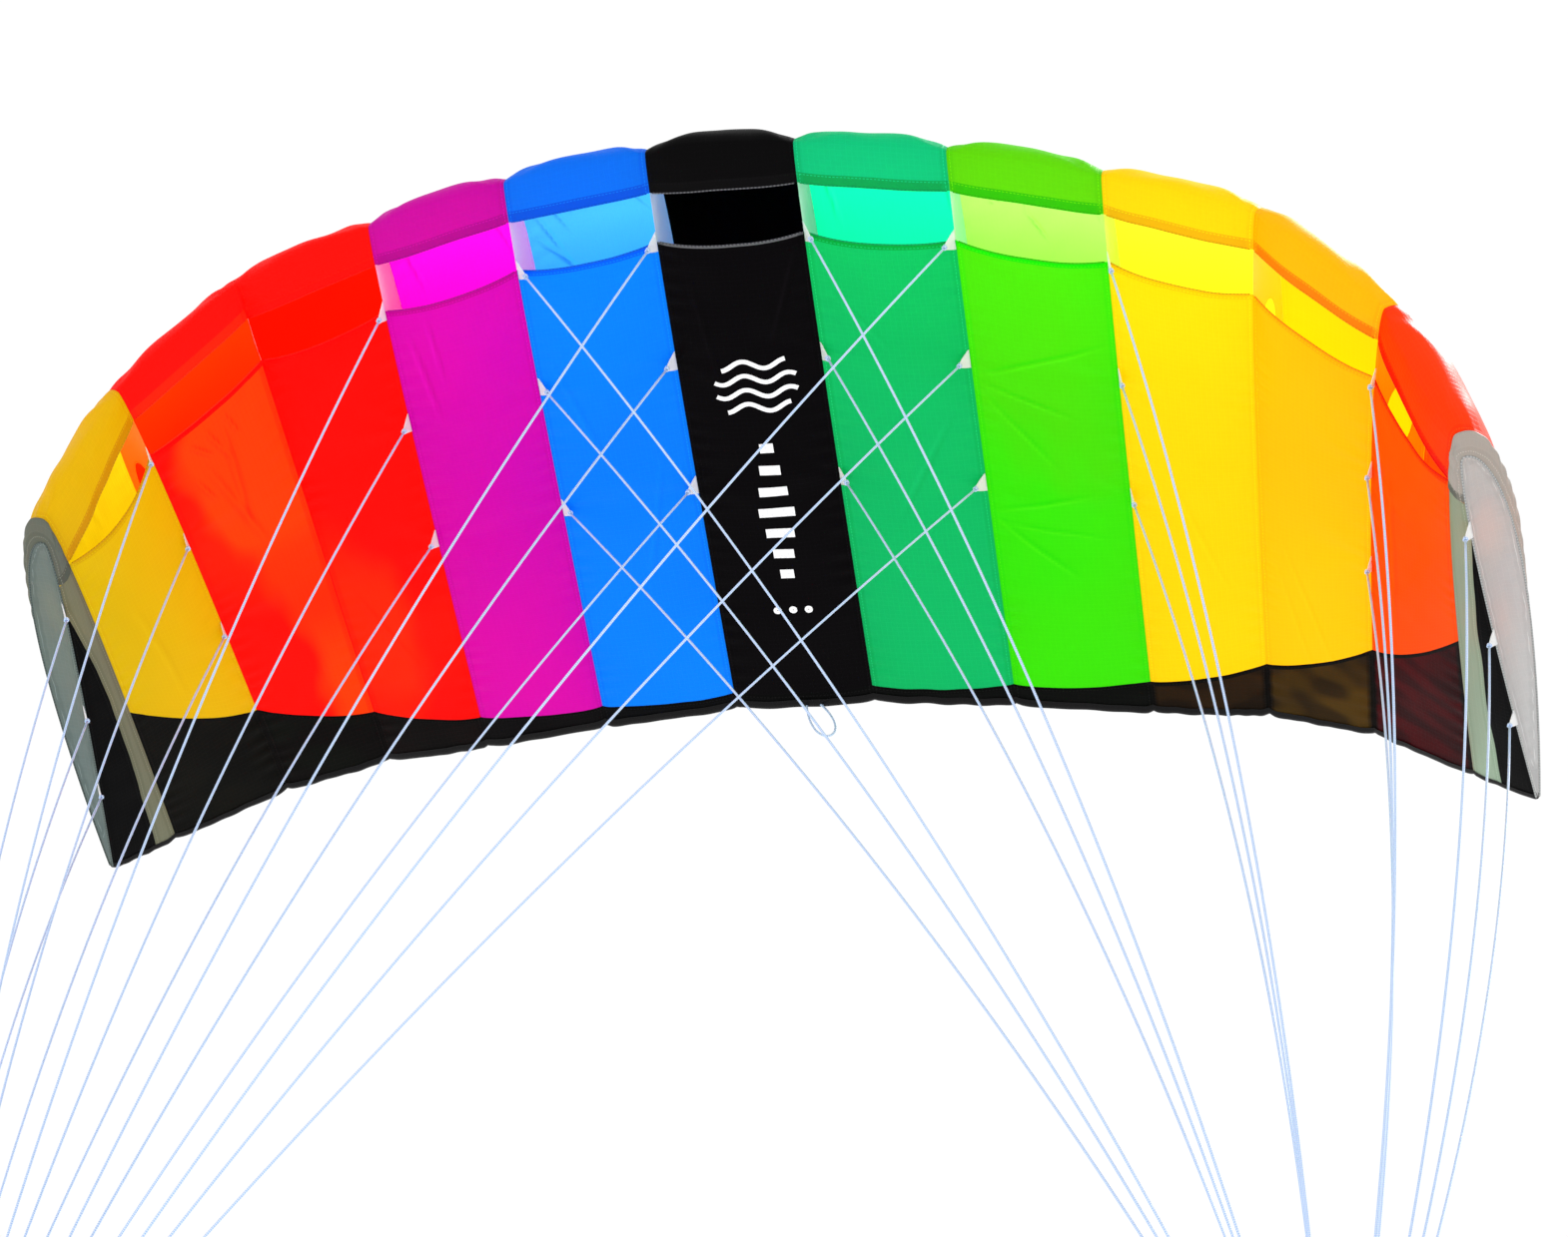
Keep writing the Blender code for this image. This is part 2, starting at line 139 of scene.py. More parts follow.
# --------------------------------------------------------------------------
# Shader building
# --------------------------------------------------------------------------
def linear(r, g, b):
    """A colour read as 0..255 screen values, as the shader's linear values."""
    out = []
    for c in (r, g, b):
        c = c / 255.0
        out.append(c / 12.92 if c <= 0.04045 else ((c + 0.055) / 1.055) ** 2.4)
    return tuple(out)


class Tree:
    """Short names for building a material's nodes."""

    def __init__(self, name):
        self.mat = bpy.data.materials.new(name)
        self.mat.use_nodes = True
        self.nt = self.mat.node_tree
        self.nt.nodes.clear()
        self.out = self.nt.nodes.new("ShaderNodeOutputMaterial")

    def node(self, kind, **sockets):
        n = self.nt.nodes.new(kind)
        for key, value in sockets.items():
            self.set(n, key, value)
        return n

    def set(self, n, key, value):
        if key.startswith("_"):
            setattr(n, key[1:], value)
            return
        socket = n.inputs[int(key[1:])] if key[0] == "i" and key[1:].isdigit() else n.inputs[key.replace("__", " ")]
        if isinstance(value, bpy.types.NodeSocket):
            self.nt.links.new(value, socket)
        else:
            socket.default_value = value

    def math(self, op, a, b=None, c=None, clamp=False):
        n = self.nt.nodes.new("ShaderNodeMath")
        n.operation = op
        n.use_clamp = clamp
        for i, v in enumerate((a, b, c)):
            if v is None:
                continue
            if isinstance(v, bpy.types.NodeSocket):
                self.nt.links.new(v, n.inputs[i])
            else:
                n.inputs[i].default_value = v
        return n.outputs[0]

    def ramp(self, value, low, high, to_low=0.0, to_high=1.0, smooth=True):
        n = self.nt.nodes.new("ShaderNodeMapRange")
        n.interpolation_type = "SMOOTHSTEP" if smooth else "LINEAR"
        self.nt.links.new(value, n.inputs["Value"])
        n.inputs["From Min"].default_value = low
        n.inputs["From Max"].default_value = high
        n.inputs["To Min"].default_value = to_low
        n.inputs["To Max"].default_value = to_high
        return n.outputs["Result"]

    def mix(self, factor, a, b, mode="MIX"):
        n = self.nt.nodes.new("ShaderNodeMix")
        n.data_type = "RGBA"
        n.blend_type = mode
        for i, v in ((0, factor), (6, a), (7, b)):
            if isinstance(v, bpy.types.NodeSocket):
                self.nt.links.new(v, n.inputs[i])
            else:
                n.inputs[i].default_value = v if i == 0 else (*v[:3], 1.0)
        return n.outputs[2]

    def attribute(self, name, kind="fac"):
        n = self.nt.nodes.new("ShaderNodeAttribute")
        n.attribute_type = "GEOMETRY"
        n.attribute_name = name
        return n.outputs["Fac" if kind == "fac" else "Color"]


def scaled(colour, k):
    return tuple(min(1.0, c * k) for c in colour[:3])


def power(colour, p):
    return tuple(max(0.0, c) ** p for c in colour[:3])


def ripstop(name, colour, glow=None, hem=None, light=0.5, roughness=0.42, specular=0.22,
            grid=0.10, seed=0.0, glow_size=3.2, glow_at=(0.48, 0.66), hem_width=0.009,
            seam_dark=0.84, hem_light=None, inside=None, tint=False, glow_share=0.25):
    """Calendered ripstop nylon: a grid of thicker threads every 5 mm, double cloth at
    the hems and seams, lock stitches along both, and light that comes through it."""
    t = Tree(name)
    uv = t.node("ShaderNodeUVMap", _uv_map="cloth").outputs[0]
    xyz = t.node("ShaderNodeSeparateXYZ", Vector=uv)
    u, v = xyz.outputs[0], xyz.outputs[1]
    glow = glow or colour
    hem = hem or power(colour, 1.35)

    # slow changes of tone, as light gathers in the folds
    shifted = t.node("ShaderNodeVectorMath", _operation="ADD", i0=uv, i1=(seed * 1.7, seed * 3.1, seed))
    slow = t.node("ShaderNodeTexNoise", Vector=shifted.outputs[0], Scale=glow_size, Detail=1.5,
                  Roughness=0.45).outputs[0]
    # painted light: the black band's colour, with daylight through the coloured cells above painted into it, comes
    # from a mesh attribute
    if tint:
        colour_in = t.attribute("tint", "Color")
        base = t.mix(t.ramp(slow, 0.40, 0.62, 0.0, 0.35), colour_in, glow)
    else:
        lean = t.math("ADD", t.math("MULTIPLY", t.ramp(slow, *glow_at), glow_share), t.attribute("glow"))
        base = t.mix(t.math("MINIMUM", lean, 1.0), colour, glow)

    # the ripstop grid
    threads = []
    for c in (u, v):
        near = t.math("PINGPONG", c, 0.0025)
        threads.append(t.ramp(near, 0.00018, 0.00042, 1.0, 0.0))
    rip = t.math("MAXIMUM", threads[0], threads[1])
    base = t.mix(t.math("MULTIPLY", rip, grid), base, scaled(power(colour, 0.8), 1.25))

    # hems and seam allowances, where the cloth is double
    at_hem = t.attribute("hem")
    at_seam = t.attribute("seam")
    in_hem = t.ramp(at_hem, hem_width - 0.0003, hem_width + 0.0003, 1.0, 0.0)
    base = t.mix(in_hem, base, hem)
    in_seam = t.ramp(at_seam, 0.0055, 0.0066, 0.30, 0.0)
    base = t.mix(in_seam, base, power(colour, 1.35))
    line = t.ramp(at_seam, 0.0004, 0.0009, 1.0, 0.0)
    base = t.mix(line, base, scaled(colour, seam_dark))

    # stitches
    along_hem = t.ramp(t.math("ABSOLUTE", t.math("SUBTRACT", at_hem, hem_width - 0.0016)),
                       0.00025, 0.00045, 1.0, 0.0)
    dash_u = t.ramp(t.math("PINGPONG", u, 0.0017), 0.0009, 0.0011, 1.0, 0.0)
    along_seam = t.ramp(t.math("ABSOLUTE", t.math("SUBTRACT", at_seam, 0.0030)),
                        0.00025, 0.00045, 1.0, 0.0)
    dash_v = t.ramp(t.math("PINGPONG", v, 0.0017), 0.0009, 0.0011, 1.0, 0.0)
    stitch = t.math("MAXIMUM", t.math("MULTIPLY", along_hem, dash_u),
                    t.math("MULTIPLY", along_seam, dash_v))
    base = t.mix(t.math("MULTIPLY", stitch, 0.55), base, hem_light or scaled(power(colour, 0.75), 1.35))

    if inside:      # painted light: the inner face of the open cell is drawn in the brighter inlet colour, where daylight fills the cell
        back = t.node("ShaderNodeNewGeometry").outputs["Backfacing"]
        lit = t.math("MULTIPLY", back, t.attribute("open"))
        base = t.mix(lit, base, inside)
    # painted shade and painted highlight: the fold attribute darkens the cloth on one side of each sharp fold and
    # lightens it on the other
    fold = t.attribute("fold")
    base = t.mix(t.ramp(fold, 0.0, 1.0, 0.0, 0.60), base, power(colour, 1.7))
    base = t.mix(t.ramp(t.math("MULTIPLY", fold, -1.0), 0.0, 1.0, 0.0, 0.45), base,
                 scaled(power(colour, 0.7), 1.2))

    fine = t.node("ShaderNodeTexNoise", Vector=uv, Scale=420.0, Detail=2.0).outputs[0]
    height = t.math("ADD", t.math("MULTIPLY", rip, 0.5),
                    t.math("ADD", t.math("MULTIPLY", stitch, -1.2), t.math("MULTIPLY", fine, 0.35)))
    height = t.math("ADD", height, t.math("MULTIPLY", in_hem, 0.9))
    bump = t.node("ShaderNodeBump", Strength=0.35, Distance=0.0004, Height=height).outputs[0]
    rough = t.math("ADD", t.math("MULTIPLY", fine, 0.16), roughness - 0.08)

    skin = t.node("ShaderNodeBsdfPrincipled", Roughness=rough, Normal=bump, **{"Base__Color": base})
    skin.inputs["Specular IOR Level"].default_value = specular
    through = t.node("ShaderNodeBsdfTranslucent", Color=base, Normal=bump)
    both = t.node("ShaderNodeMixShader", Fac=light, i1=skin.outputs[0], i2=through.outputs[0])
    t.nt.links.new(both.outputs[0], t.out.inputs["Surface"])
    return t.mat


def rolled(name, colour, dark):
    """The rolled edge of a hem: the same cloth seen on its fold, with its stitches."""
    t = Tree(name)
    uv = t.node("ShaderNodeUVMap", _uv_map="cloth").outputs[0]
    xyz = t.node("ShaderNodeSeparateXYZ", Vector=uv)
    stitch = t.ramp(t.math("PINGPONG", xyz.outputs[0], 0.0017), 0.0006, 0.0011, 0.0, 1.0)
    base = t.mix(stitch, dark, colour)
    fine = t.node("ShaderNodeTexNoise", Vector=uv, Scale=300.0, Detail=2.0).outputs[0]
    bump = t.node("ShaderNodeBump", Strength=0.4, Distance=0.0003, Height=stitch).outputs[0]
    skin = t.node("ShaderNodeBsdfPrincipled", Roughness=t.math("ADD", t.math("MULTIPLY", fine, 0.2), 0.45),
                  Normal=bump, **{"Base__Color": base})
    skin.inputs["Specular IOR Level"].default_value = 0.12
    t.nt.links.new(skin.outputs[0], t.out.inputs["Surface"])
    return t.mat


def cord_material(name, colour, dark, pitch=0.0042, turns=2.0):
    """Braided line: two sets of strands crossing round the cord."""
    t = Tree(name)
    uv = t.node("ShaderNodeUVMap", _uv_map="cloth").outputs[0]
    xyz = t.node("ShaderNodeSeparateXYZ", Vector=uv)
    along, around = xyz.outputs[0], xyz.outputs[1]
    step = t.math("MULTIPLY", along, 2 * math.pi / pitch)
    turn = t.math("MULTIPLY", around, 2 * math.pi * turns)
    one = t.math("SINE", t.math("ADD", step, turn))
    two = t.math("SINE", t.math("SUBTRACT", step, turn))
    weave = t.math("MULTIPLY", one, two)
    base = t.mix(t.ramp(weave, -0.9, 0.6), dark, colour)
    fuzz = t.node("ShaderNodeTexNoise", Vector=uv, Scale=260.0, Detail=2.0).outputs[0]
    base = t.mix(t.ramp(fuzz, 0.45, 0.75, 0.0, 0.25), base, scaled(colour, 1.2))
    bump = t.node("ShaderNodeBump", Strength=0.5, Distance=0.0004, Height=weave).outputs[0]
    skin = t.node("ShaderNodeBsdfPrincipled", Roughness=t.math("ADD", t.math("MULTIPLY", fuzz, 0.2), 0.42),
                  Normal=bump, **{"Base__Color": base})
    skin.inputs["Specular IOR Level"].default_value = 0.35
    t.nt.links.new(skin.outputs[0], t.out.inputs["Surface"])
    return t.mat


# --------------------------------------------------------------------------
# The wing's form
# --------------------------------------------------------------------------
def unit(v):
    return v / np.maximum(np.linalg.norm(v, axis=-1, keepdims=True), 1e-12)


def section(q):
    q = np.asarray(q, float)
    u = q * q
    f = 10.0 * (0.2969 * np.abs(q) - 0.1260 * u - 0.3516 * u**2 + 0.2843 * u**3 - 0.1015 * u**4)
    return u, np.where(q >= 0, UPPER_CAMBER, -LOWER_BELLY) * f


class Rib:
    """One seam plane: where its nose is, and which way it points."""

    def __init__(self, index):
        self.index = index
        side = 1.0 if index >= 7 else -1.0
        step = index - 7 if index >= 7 else 6 - index
        x, z, rolls = CELL_WIDTH / 2, 0.0, [0.0]
        spots = [(x, z)]
        for j in range(1, 7):
            roll = ARC_ROLL / (1 + math.exp(-(j - ARC_MIDDLE) / ARC_SPREAD))
            width = CELL_WIDTH * (TIP_CELL_RATIO if j == 6 else 1.0)
            x += width * math.cos(roll)
            z -= width * math.sin(roll)
            rolls.append(roll)
            spots.append((x, z))
        after = rolls[step + 1] if step < 6 else rolls[6] + 0.3 * (rolls[6] - rolls[5])
        roll = (rolls[step] + after) / 2
        s = (step + 0.5) / 6.5
        self.side, self.step = side, step
        self.chord = CHORD[0] + CHORD[1] * s**4 + CHORD[2] * s**8
        nose_y = SWEEP[0] * s**2 + SWEEP[1] * s**4 + SWEEP[2] * s**8
        pitch = PITCH[0] + PITCH[1] * s**2
        up = np.array((side * math.sin(roll), 0.0, math.cos(roll)))
        back = np.array((0.0, 1.0, 0.0))
        self.nose = np.array((side * spots[step][0], nose_y - WING_FORWARD,
                              spots[step][1] + WING_HEIGHT))
        self.fwd = back * math.cos(pitch) - up * math.sin(pitch)
        self.up = up * math.cos(pitch) + back * math.sin(pitch)
        if step in NOSE_PULL:
            inward, behind, rise = NOSE_PULL[step]
            tail = self.nose + self.fwd * self.chord
            self.nose = self.nose + np.array((-side * inward, behind, rise))
            self.chord = float(np.linalg.norm(tail - self.nose))
            self.fwd = (tail - self.nose) / self.chord
            self.up = unit(self.up - self.fwd * (self.up @ self.fwd))
        self.depth = self.chord * (TIP_DEPTH if step == 6 else 1.0)
        self.normal = np.cross(self.fwd, self.up)          # towards -X

    def at(self, u, v):
        u, v = np.asarray(u, float)[..., None], np.asarray(v, float)[..., None]
        return self.nose + self.fwd * (u * self.chord) + self.up * v

    def outline(self, q, edge=EDGE_HALF):
        q = np.asarray(q, float)
        u, v = section(q)
        return self.at(u, v * self.depth + edge * u * np.where(q >= 0, 1.0, -1.0))

    def flat_normal(self, q):
        q = np.asarray(q, float)
        h = 1e-4
        (u0, v0), (u1, v1) = section(q - h), section(q + h)
        n = np.stack([-(v1 - v0), u1 - u0], -1)
        n = np.where((np.abs(q) < h)[..., None], np.array((-1.0, 0.0)), n)
        return unit(n)

    def outward(self, q):
        n = self.flat_normal(q)
        return self.fwd * n[..., :1] + self.up * n[..., 1:]


ribs = [Rib(k) for k in range(CELLS + 1)]
EDGE = 0.0004            # half the gap between the two skins at the back


def lower_height(rib, u):
    _, v = section(-math.sqrt(u))
    return float(v) * rib.depth - EDGE_HALF * u


def tab_shares(rib):
    return END_TAB_AT if rib.step == 6 else TAB_AT


def band_start(rib):
    return BAND_START[min(rib.step, 5)]


def hem_place(rib, inner, outer):
    return outer if rib.step >= 5 else inner


def noise2(x, y, seed, size):
    """Smooth made-up noise of about unit height: a few waves in seeded directions."""
    rng = np.random.RandomState(seed)
    total = np.zeros_like(x)
    for k in range(7):
        angle = rng.uniform(0, 2 * math.pi)
        freq = 2 * math.pi / (size * rng.uniform(0.6, 1.7))
        phase = rng.uniform(0, 2 * math.pi)
        total += np.sin(freq * (math.cos(angle) * x + math.sin(angle) * y) + phase)
    return total / 3.0


def bulge(q, height, front=1.0):
    u = q * q
    return height * (1.0 - 0.85 * np.maximum(0.0, (u - 0.35) / 0.65) ** 1.5) * front


def puckers(dist, along, seed, height, reach, wave):
    """Small gathers that stand on a seam and die away from it."""
    rng = np.random.RandomState(seed)
    f = (dist / reach) * np.exp(1.0 - dist / reach)
    phase = noise2(along, along * 0.0, seed + 5, wave * 5.0) * 1.6
    size = 0.55 + 0.45 * noise2(along, along * 0.0, seed + 9, wave * 7.0)
    return height * f * np.sin(2 * math.pi * along / wave + phase + rng.uniform(0, 6.28)) * size


def fan(x, y, px, py, seed, height, reach, rays, start, width):
    """Folds fanning out from a point under tension, within a sector."""
    dx, dy = x - px, y - py
    r = np.hypot(dx, dy)
    angle = np.arctan2(dy, dx)
    off = np.angle(np.exp(1j * (angle - start)))
    sector = np.clip(1.15 - np.abs(off) / width, 0.0, 1.0)
    rng = np.random.RandomState(seed)
    ripple = np.sin(rays * off + rng.uniform(0, 6.28) + 0.6 * np.sin(2.1 * off + seed))
    return height * sector * ripple * (r / reach) * np.exp(1.0 - r / reach)


def crease(x, y, ax, ay, bx, by, height, width):
    """A single straight fold from a to b.  Returns its rise and its painted shade: dark on one side of the fold,
    light on the other.
    """
    dx, dy = bx - ax, by - ay
    length2 = dx * dx + dy * dy
    s = np.clip(((x - ax) * dx + (y - ay) * dy) / length2, 0.0, 1.0)
    d = ((x - ax) * dy - (y - ay) * dx) / math.sqrt(length2)
    past = np.hypot(x - (ax + s * dx), y - (ay + s * dy))
    body = np.exp(-(past / (width * 1.6)) ** 2) * np.sin(math.pi * np.clip(s, 0.02, 0.98)) ** 0.6
    k = d / width
    return height * body * np.exp(-0.5 * k * k), body * k * np.exp(0.5 - 0.5 * k * k)


PLUMP = {1: 0.60, 2: 0.45, 3: 0.60, 4: 0.78, 5: 0.75, 7: 0.80, 8: 0.80, 9: 0.75, 10: 0.70, 11: 0.6, 0: 0.5, 12: 0.5}


def across_cell(a, sharp=2.9):
    """How far a cell stands out between its seams: flat in the middle, steep at both."""
    return 1.0 - np.abs(2.0 * a - 1.0) ** sharp


def te_reach(cell, a, q):
    """How far the trailing edge stands back between the ribs, where the seams notch it."""
    side = np.minimum(a, 1 - a) * CELL_WIDTH
    last = np.clip((np.asarray(q, float) ** 2 - 0.93) / 0.07, 0, 1)
    wave = 0.0009 * noise2(a * CELL_WIDTH, a * 0.0, 1500 + cell, 0.030)
    return (0.0036 * (1 - np.exp(-side / 0.007)) + wave * np.clip(side / 0.006, 0, 1)) * last ** 1.5


def skin(cell, a, q, height, front=1.0, edge=EDGE):
    """Points of a cell's skin, and its outward directions there."""
    a = np.asarray(a, float)
    height = height * PLUMP.get(cell, 1.0)
    left, right_rib = ribs[cell], ribs[cell + 1]
    p, r = left.outline(q, edge), right_rib.outline(q, edge)
    out = unit(left.outward(q) + right_rib.outward(q))
    full = across_cell(a)
    co = p + (r - p) * a[..., None] + out * (bulge(q, height, front) * full)[..., None]
    back = unit(left.fwd + right_rib.fwd)
    return co + back * te_reach(cell, a, q)[..., None], out


def cell_width(cell, q):
    return np.linalg.norm(ribs[cell + 1].outline(q) - ribs[cell].outline(q), axis=-1)


def build(name, co, quads, uv=None, attrs=(), material=None, smooth=True, facing=None):
    """A mesh from points and faces, turned so that its fronts look along facing."""
    mesh = bpy.data.meshes.new(name)
    if facing is not None:
        f = np.asarray(facing).reshape(-1, 3)
        n = np.cross(co[quads[:, 1]] - co[quads[:, 0]], co[quads[:, 2]] - co[quads[:, 0]])
        if (n * f[quads[:, 0]]).sum() < 0:
            quads = quads[:, ::-1]
    co = np.ascontiguousarray(co, np.float32)
    quads = np.ascontiguousarray(quads, np.int32)
    n, sides = len(quads), quads.shape[1]
    mesh.vertices.add(len(co))
    mesh.vertices.foreach_set("co", co.ravel())
    mesh.loops.add(n * sides)
    mesh.loops.foreach_set("vertex_index", quads.ravel())
    mesh.polygons.add(n)
    mesh.polygons.foreach_set("loop_start", np.arange(0, n * sides, sides, dtype=np.int32))
    mesh.update(calc_edges=True)
    if uv is not None:
        layer = mesh.uv_layers.new(name="cloth")
        layer.data.foreach_set("uv", np.ascontiguousarray(uv[quads.ravel()], np.float32).ravel())
    for key, values in dict(attrs).items():
        if key == "tint":
            a = mesh.attributes.new(key, "FLOAT_COLOR", "POINT")
            a.data.foreach_set("color", np.ascontiguousarray(values, np.float32).ravel())
            continue
        a = mesh.attributes.new(key, "FLOAT", "POINT")
        a.data.foreach_set("value", np.ascontiguousarray(values, np.float32).ravel())
    mesh.polygons.foreach_set("use_smooth", np.full(n, smooth, dtype=bool))
    mesh.validate()
    mesh.update()
    obj = bpy.data.objects.new(name, mesh)
    scene.collection.objects.link(obj)
    if material is not None:
        mesh.materials.append(material)
    return obj


def grid_quads(rows, cols, flip=False, closed=False):
    i, j = np.meshgrid(np.arange(rows - 1), np.arange(cols if closed else cols - 1), indexing="ij")
    k = (j + 1) % cols
    q = np.stack([i * cols + j, i * cols + k, (i + 1) * cols + k, (i + 1) * cols + j], -1).reshape(-1, 4)
    return q[:, ::-1] if flip else q


def tube(name, points, radius, material, sides=8, closed=False):
    """A round cord along points, with rounded ends unless it is closed."""
    p = np.asarray(points, float)
    n = len(p)
    nxt, prv = np.roll(p, -1, 0), np.roll(p, 1, 0)
    tangent = nxt - prv
    if not closed:
        tangent[0], tangent[-1] = p[1] - p[0], p[-1] - p[-2]
    tangent = unit(tangent)
    ref = np.array((0.0, 0.0, 1.0)) if abs(tangent[0][2]) < 0.9 else np.array((1.0, 0.0, 0.0))
    side = unit(np.cross(tangent[0], ref))
    rings, around = [], np.linspace(0, 2 * math.pi, sides, endpoint=False)
    for i in range(n):
        side = unit(side - tangent[i] * np.dot(side, tangent[i]))
        other = np.cross(tangent[i], side)
        rings.append(p[i] + radius * (np.cos(around)[:, None] * side + np.sin(around)[:, None] * other))
    length = np.concatenate([[0.0], np.cumsum(np.linalg.norm(np.diff(p, axis=0), axis=1))])
    co = np.concatenate(rings)
    uv = np.stack([np.repeat(length, sides), np.tile(np.arange(sides) / sides, n)], -1)
    quads = grid_quads(n, sides, closed=True)
    if closed:
        last = np.stack([(n - 1) * sides + np.arange(sides), (n - 1) * sides + (np.arange(sides) + 1) % sides,
                         (np.arange(sides) + 1) % sides, np.arange(sides)], -1)
        quads = np.concatenate([quads, last])
        return build(name, co, quads, uv, material=material)
    obj = build(name, co, quads, uv, material=material)
    bm = bmesh.new()
    bm.from_mesh(obj.data)
    bm.verts.ensure_lookup_table()
    first, last = [bm.verts[k] for k in range(sides)], [bm.verts[k] for k in range((n - 1) * sides, n * sides)]
    for ring, tip in ((first, p[0] - tangent[0] * radius * 0.5), (last, p[-1] + tangent[-1] * radius * 0.5)):
        top = bm.verts.new(tip)
        for k in range(sides):
            bm.faces.new((ring[k], ring[(k + 1) % sides], top)).smooth = True
    bmesh.ops.recalc_face_normals(bm, faces=bm.faces)
    bm.to_mesh(obj.data)
    bm.free()
    return obj


# --------------------------------------------------------------------------
# Cords: thirty bridle lines, two tow loops and the small loop at the back
# --------------------------------------------------------------------------
LINE = cord_material("bridle_line_braid", linear(222, 235, 255), linear(150, 192, 250))
KNOT = cord_material("tow_knot_braid", linear(186, 212, 250), linear(118, 160, 226), pitch=0.006)
TAIL = cord_material("tail_cord_braid", linear(214, 232, 250), linear(150, 190, 232))


def line_points(top, foot, side, count):
    chord = foot - top
    out = np.array((side, 0.0, 0.0))
    out = out - chord * (out @ chord) / (chord @ chord)
    out = out / np.linalg.norm(out)
    t = np.linspace(0.0, 1.0, count)[:, None]
    sag = 4.0 * t * (1.0 - t)
    return (top + chord * t + out * (LINE_BOW * np.linalg.norm(chord) * sag)
            + np.array((0.0, side * LINE_PASS, 0.0)) * sag)


def tow_point(side):
    return np.array((side * TOW_HALF_WIDTH, 0.0, 0.0))


def tip_body(rib):
    if rib.index == 0:
        return "wing_tip_left"
    return "wing_tip_right" if rib.index == CELLS else "root"


SLACK_SHARE = {"a": 0.28, "b": 0.53, "c": 0.80}
tabs, hitches, set_knots = {}, {}, {}
for group, order in (("left", (0, 2, 4, 6, 8)), ("right", (5, 7, 9, 11, 13))):
    side = -1.0 if group == "left" else 1.0
    for place, index in enumerate(order):
        rib = ribs[index]
        angle = (place - 2) * SET_KNOT_STEP
        foot = tow_point(side) + np.array((math.sin(angle), 0.0, math.cos(angle))) * SET_KNOT_AT
        set_knots[index] = foot
        for letter, u in zip("abc", tab_shares(rib)):
            seam = rib.at(u, lower_height(rib, u))
            pull = unit(foot - seam)
            lean = pull * np.array((2.6, 1.0, 1.0)) if rib.step < 5 else pull * np.array((1.0, 1.0, 1.0))
            lean = unit(unit(lean) * 0.75 - rib.up * 0.25)
            tip = seam + lean * TAB_DROP
            tabs.setdefault(index, []).append((u, seam, tip))
            top = tip + pull * 0.0012
            path = line_points(top, foot, side, 64)
            piece = tube(f"bridle_line_{index:02d}_{letter}", path, LINE_D / 2, LINE, sides=8)
            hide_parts(f"bridle_rib_{index:02d}")
            if tip_body(rib) == "root":
                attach(piece, "root")
            else:
                # a curled tip drops towards the tow point, so its lines go slack; here they are only baked where
                # they are drawn, and low, the point at each line's SLACK_SHARE, is worked out but not used
                low = int(round(SLACK_SHARE[letter] * (len(path) - 1)))
                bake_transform(piece)
            hitches.setdefault(index, []).append((top, pull, letter))


def loop_points(top, height, width, count, gap, lean=0.0):
    start = math.asin(min(1.0, gap / width)) + 0.18
    phi = np.linspace(start, 2 * math.pi - start, count)
    x = -width / 2 * np.sin(phi) * (1.0 - 0.32 * np.cos(phi)) / 1.06
    z = -height * (math.cos(start) - np.cos(phi)) / (1.0 + math.cos(start))
    return np.stack([top[0] + x * math.cos(lean) - z * math.sin(lean), np.full(count, top[1]),
                     top[2] + x * math.sin(lean) + z * math.cos(lean)], -1)


for group, side in (("left", -1.0), ("right", 1.0)):
    top = tow_point(side) - np.array((0.0, 0.0, TOW_KNOT_R + LOOP_D / 2 + 0.0012))
    path = loop_points(top, TOW_LOOP_H, TOW_LOOP_W, 49, 0.004)
    piece = tube(f"tow_eye_{group}", path, LOOP_D / 2, KNOT, sides=10)
    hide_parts(f"tow_loop_{group}")
    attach(piece, f"tow_loop_{group}")

tail_left, tail_right = ribs[6].outline(-1.0), ribs[7].outline(-1.0)
tail = (tail_left + tail_right) / 2
top = np.array((TAIL_LOOP_X, tail[1] + TAIL_LOOP_D / 2 + 0.0010, tail[2] + 0.0010))
path = loop_points(top, TAIL_LOOP_H, TAIL_LOOP_W, 57, 0.012, TAIL_LOOP_LEAN)
piece = tube("tail_eye", path, TAIL_LOOP_D / 2, TAIL, sides=10)
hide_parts("tail_loop")
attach(piece, "tail_loop")


# --------------------------------------------------------------------------
# Knots and hitches
# --------------------------------------------------------------------------
def torus_knot(centre, radius, cord, p, q, axis, name, material, count=160):
    """A cord wound into a closed ball knot."""
    t = np.linspace(0, 2 * math.pi, count, endpoint=False)
    big, small = (radius - cord) * 0.62, (radius - cord) * 0.48
    r = big + small * np.cos(q * t)
    pts = np.stack([r * np.cos(p * t), r * np.sin(p * t), small * 1.25 * np.sin(q * t)], -1)
    turn = np.array(Vector((0, 0, 1)).rotation_difference(Vector(axis)).to_matrix())
    return tube(name, centre + pts @ turn.T, cord, material, sides=8, closed=True)


for group, side in (("left", -1.0), ("right", 1.0)):
    knot = torus_knot(tow_point(side), TOW_KNOT_R, 0.0026, 3, 4, (0.2, 1.0, 0.35),
                      f"tow_ball_{group}", KNOT, 220)
    core = bmesh.new()
    bmesh.ops.create_icosphere(core, subdivisions=3, radius=TOW_KNOT_R * 0.62)
    for v in core.verts:
        v.co = v.co + Vector(tow_point(side))
    mesh = bpy.data.meshes.new(f"tow_core_{group}")
    core.to_mesh(mesh)
    core.free()
    heart = bpy.data.objects.new(f"tow_core_{group}", mesh)
    scene.collection.objects.link(heart)
    mesh.materials.append(KNOT)
    for f in mesh.polygons:
        f.use_smooth = True
    for o in (knot, heart):
        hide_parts(f"tow_knot_{group}")
        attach(o, "root")

for index, foot in set_knots.items():
    side = -1.0 if BRIDLED[index] == "left" else 1.0
    axis = unit(foot - tow_point(side))
    knot = torus_knot(foot, SET_KNOT_R + 0.0006, 0.0011, 2, 3, axis, f"set_knot_{index:02d}", KNOT, 90)
    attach(knot, "root")


